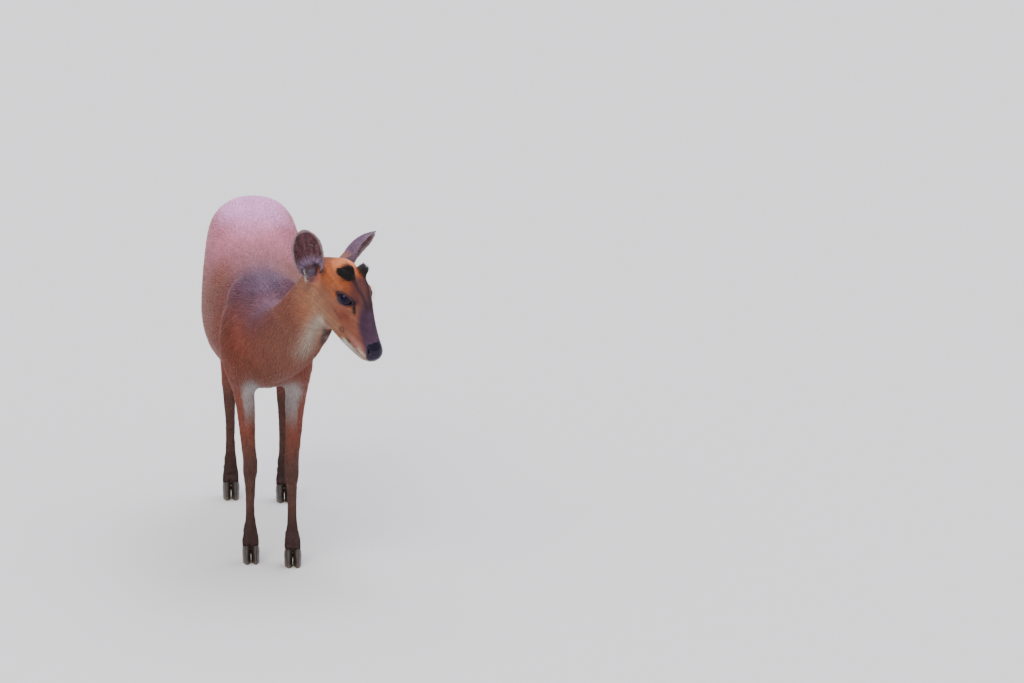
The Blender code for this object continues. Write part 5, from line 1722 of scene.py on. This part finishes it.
        # The backs and the other ear lie beside this ear's cup on the map
        beside = np.where(cupped, 0.06, 0.0) + (0.12 if side > 0 else 0)
        spots = np.column_stack([(roots - base) @ across + beside, (roots - base) @ along])
        tufts = Tufts(roots, normal, lies, lengths, np.where(cupped, *self.hair_widths), lift.clip(0.08, 0.6),
                      colours * 0.8, tips, rng.normal(0, 0.10, count))
        return tufts, spots

    def build(self, material: bpy.types.Material, hair: bpy.types.Material) -> None:
        """Makes both ears."""
        rng = np.random.default_rng(SEED + 3)
        tufts, spots = [], []
        for side, label in SIDES:
            item = self.skin(side, label)
            item.data.materials.append(material)
            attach(item, "root")
            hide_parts("ear_" + label)
            grown, places = self.hair(item, side, rng)
            tufts.append(grown)
            spots.append(places)
            log.info("ear_skin_%s: %d triangles", label, len(triangles_of(item.data)))
        piece = tufts[0].join(tufts[1]).build("coat_ears", fitted(np.vstack(spots)))
        piece.data.materials.append(hair)
        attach(piece, "root")


# Eyes


@dataclass
class Eyes:
    """The eyeballs, dark and wet, and the lids' edges round them."""

    segments: int = 48
    pupil: tuple[float, float] = (0.0068, 0.0040)
    iris: float = 0.0104
    bulge: float = 0.9 * MM
    lid_radius: float = 0.85 * MM
    lid_points: int = 36
    brown: str = "#1C110D"
    black: str = "#050506"
    rim: str = "#0D0A0C"

    def ball(self, side: int, label: str) -> bpy.types.Object:
        """One eyeball, its cornea raised a little, with its iris painted."""
        made = bmesh.new()
        bmesh.ops.create_uvsphere(made, u_segments=self.segments, v_segments=self.segments, radius=1.0)
        item = object_of("eyeball_" + label, made)
        local = coordinates(item.data) * EYE.radius * 0.985
        out = np.hypot(local[:, 0], local[:, 1])
        front = local[:, 2] > 0
        cornea = self.bulge * step(0.0108, 0.0, out) * front
        forward = np.array(EYE.matrix(side))
        placed = local + unit(local) * cornea[:, None] * 0.8
        place_vertices(item.data, placed @ forward[:3, :3].T + forward[:3, 3])
        brown, black, rim = linear(self.brown), linear(self.black), linear(self.rim)
        pupil = np.hypot(local[:, 0] / self.pupil[0], local[:, 1] / self.pupil[1])
        seen = step(0.85, 1.2, pupil)[:, None]
        beyond = step(self.iris * 0.93, self.iris * 1.05, out)[:, None]
        streak = 1 + 0.25 * np.sin(np.arctan2(local[:, 1], local[:, 0]) * 23)[:, None]
        colours = black * (1 - seen) + brown * streak * seen
        colours = colours * (1 - beyond) + rim * beyond
        paint(item.data, "iris", np.where(front[:, None], colours, rim))
        item.data.shade_smooth()
        return item

    def lid(self, side: int, label: str) -> bpy.types.Object:
        """The dark edge of the lids, a closed loop that is thickest above."""
        curve = bpy.data.curves.new("lid_" + label, "CURVE")
        curve.dimensions = "3D"
        curve.bevel_depth = self.lid_radius
        curve.bevel_resolution = 3
        line = curve.splines.new("NURBS")
        line.points.add(self.lid_points - 1)
        line.use_cyclic_u = True
        line.order_u = 4
        line.resolution_u = 3
        up = EYE.upwards(side)
        forward = EYE.matrix(side)
        for i in range(self.lid_points):
            x, y = EYE.outline(i / self.lid_points)
            x, y = x * 1.05, y * 1.08
            z = math.sqrt(max((EYE.radius + 0.35 * MM) ** 2 - x * x - y * y, (3.2 * MM) ** 2))
            line.points[i].co = (*(forward @ Vector((x, y, z))), 1.0)
            line.points[i].radius = 1.25 if y * up > 0 else 0.9
        item = linked("lid_" + label, curve)
        graph = bpy.context.evaluated_depsgraph_get()
        mesh = bpy.data.meshes.new_from_object(item.evaluated_get(graph))
        bpy.data.objects.remove(item)
        mesh.shade_smooth()
        return linked("lid_" + label, mesh)

    def build(self) -> None:
        """Makes both eyes and their lids."""
        wet, edge = EYE_FINISH.build(), LID_FINISH.build()
        for side, label in SIDES:
            ball = self.ball(side, label)
            ball.data.materials.append(wet)
            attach(ball, "root")
            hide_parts("eye_" + label)
            lid = self.lid(side, label)
            lid.data.materials.clear()
            lid.data.materials.append(edge)
            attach(lid, "root")
            log.info("eye and lid, %s", label)


# Feet


@dataclass
class Feet:
    """Hooves and dewclaws of worn horn, with rounded edges."""

    edge: float = 1.1 * MM
    dewclaw_edge: float = 0.3 * MM
    overlap: float = 3.0 * MM
    sharp: float = math.radians(35)

    def claw(self, node: str, material: bpy.types.Material) -> None:
        """One hoof or dewclaw: the CAD node's shape with softened edges."""
        made = node_copy(node)
        bmesh.ops.dissolve_limit(made, angle_limit=math.radians(3), verts=made.verts, edges=made.edges)
        hoof = node.startswith("hoof")
        if hoof:
            top = max(vertex.co.z for vertex in made.verts)
            for vertex in made.verts:
                if vertex.normal.z > 0.3 and vertex.co.z > top * 0.55:
                    vertex.co.z += self.overlap
        sharp = [edge for edge in made.edges if edge.calc_face_angle(0) > self.sharp]
        offset = self.edge if hoof else self.dewclaw_edge
        bmesh.ops.bevel(made, geom=sharp, offset=offset, offset_type="OFFSET", segments=2,
                        profile=0.5, affect="EDGES", material=-1, clamp_overlap=True)
        bmesh.ops.triangulate(made, faces=made.faces)
        bmesh.ops.subdivide_edges(made, edges=made.edges, cuts=1, smooth=0.6)
        if hoof:
            for vertex in made.verts:
                vertex.co.z = max(vertex.co.z, 0.0)
        made.normal_update()
        bmesh.ops.recalc_face_normals(made, faces=made.faces)
        item = object_of(node + "_horn", made)
        item.data.shade_smooth()
        item.data.set_sharp_from_angle(angle=math.radians(50))
        item.data.materials.append(material)
        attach(item, "root")
        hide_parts(node)

    def build(self) -> None:
        """Makes all the hooves and dewclaws."""
        horn = HoofHorn().build()
        names = sorted(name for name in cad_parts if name.startswith(("hoof", "dewclaw")))
        for name in names:
            self.claw(name, horn)
        log.info("hooves and dewclaws: %d", len(names))


# Studio


@dataclass(frozen=True)
class Camera:
    """The photograph's view: a long lens from a little above, as a place on the body and its pixel."""

    azimuth: float = math.radians(-3.5)
    pitch: float = math.radians(15.0)
    distance: float = 20.0
    pixels_per_metre: float = 600.0
    image: tuple[int, int] = (1024, 683)
    anchor: Point = (0.0, -0.165, 0.487)
    anchor_pixel: tuple[float, float] = (265.0, 277.0)
    sensor: float = 36.0

    def build(self) -> None:
        """Makes the camera and gives it to the scene."""
        lens = bpy.data.cameras.new("camera")
        item = linked("camera", lens)
        lens.sensor_width = self.sensor
        lens.lens = self.sensor * self.distance * self.pixels_per_metre / self.image[0]
        lens.clip_end = 900.0
        back = Vector((math.sin(self.azimuth) * math.cos(self.pitch),
                       -math.cos(self.azimuth) * math.cos(self.pitch), math.sin(self.pitch)))
        turn = (-back).to_track_quat("-Z", "Y")
        right, up = turn @ Vector((1, 0, 0)), turn @ Vector((0, 1, 0))
        across = (self.anchor_pixel[0] - self.image[0] / 2) / self.pixels_per_metre
        rise = -(self.anchor_pixel[1] - self.image[1] / 2) / self.pixels_per_metre
        item.rotation_mode = "QUATERNION"
        item.rotation_quaternion = turn
        item.location = Vector(self.anchor) + HEAD.shift() + back * self.distance - right * across - up * rise
        bpy.context.scene.camera = item


@dataclass(frozen=True)
class Studio:
    """A plain pale floor and plain soft light."""

    floor_size: float = 500.0
    floor_colour: str = "#DDDCDA"
    surround: str = "#E9EBEF"
    surround_strength: float = 0.85
    horizon_strength: float = 2.0
    horizon_height: float = 0.22

    def floor(self) -> None:
        """Makes the floor."""
        made = bmesh.new()
        bmesh.ops.create_grid(made, x_segments=1, y_segments=1, size=self.floor_size / 2)
        item = object_of("studio_floor", made)
        # Matt paint: pale and even, with hardly any highlight
        paint_finish = Finish("painted_floor", colour=self.floor_colour, roughness=0.85, specular=0.2)
        item.data.materials.append(paint_finish.build())
        item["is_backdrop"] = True

    def sun(self, name: str, turn: Point, energy: float, spread: float, colour: str) -> None:
        """One even light from far off, as soft as its spread in degrees."""
        light = bpy.data.lights.new(name, "SUN")
        light.energy = energy
        light.angle = math.radians(spread)
        light.color = linear(colour)
        linked(name, light).rotation_euler = [math.radians(a) for a in turn]

    def build(self) -> None:
        """Makes the floor, the lights and the pale surroundings."""
        self.floor()
        self.sun("key_light", (40, 0, -30), 1.7, 35, "#FFF9F2")
        self.sun("top_light", (-24, 8, 0), 3.6, 55, "#F0EEFF")
        world = bpy.data.worlds.new("studio")
        bpy.context.scene.world = world
        world.use_nodes = True
        tree = world.node_tree
        sky = tree.nodes["Background"]
        sky.inputs["Color"].default_value = opaque(self.surround)
        place = add_node(tree, "ShaderNodeTexCoord")
        parts = add_node(tree, "ShaderNodeSeparateXYZ", links={"Vector": place.outputs["Generated"]})
        strength = add_node(tree, "ShaderNodeMapRange",
                            {"From Min": 0.0, "From Max": self.horizon_height,
                             "To Min": self.horizon_strength, "To Max": self.surround_strength,
                             "interpolation_type": "SMOOTHSTEP"},
                            {"Value": parts.outputs["Z"]})
        tree.links.new(strength.outputs["Result"], sky.inputs["Strength"])


def main() -> None:
    """Dresses the model in order: skin, coat, long hair, ears, eyes, feet, studio."""
    carver = Skin()
    skin = Surface.of(carver.build().data)
    log.info("skin: %d triangles", len(skin.faces))
    hair = COAT_FINISH.build()
    rng = np.random.default_rng(SEED + 1)
    coat = Coat(skin, carver)
    tufts = coat.grow()
    numbers = coat.region(tufts.roots)
    tail = numbers == Region.TAIL.value
    tufts, numbers = tufts.part(~tail), numbers[~tail]
    for extra, region in ((TailHair(skin).grow(rng), Region.TAIL), (KnobTufts(skin).grow(rng), Region.HEAD),
                          (Whiskers(skin).grow(rng), Region.HEAD)):
        tufts = tufts.join(extra)
        numbers = np.concatenate([numbers, np.full(len(extra), region.value)])
    total = build_coat_pieces(tufts, numbers, hair)
    log.info("coat: %d triangles", total)
    Ears().build(EAR_FINISH.build(), hair)
    Eyes().build()
    Feet().build()
    Camera().build()
    Studio().build()
    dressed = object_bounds()
    ({"cad": [list(corner) for corner in CAD_BOX],
               "visual": [list(corner) for corner in dressed]})


if __name__ == "__main__":
    main()
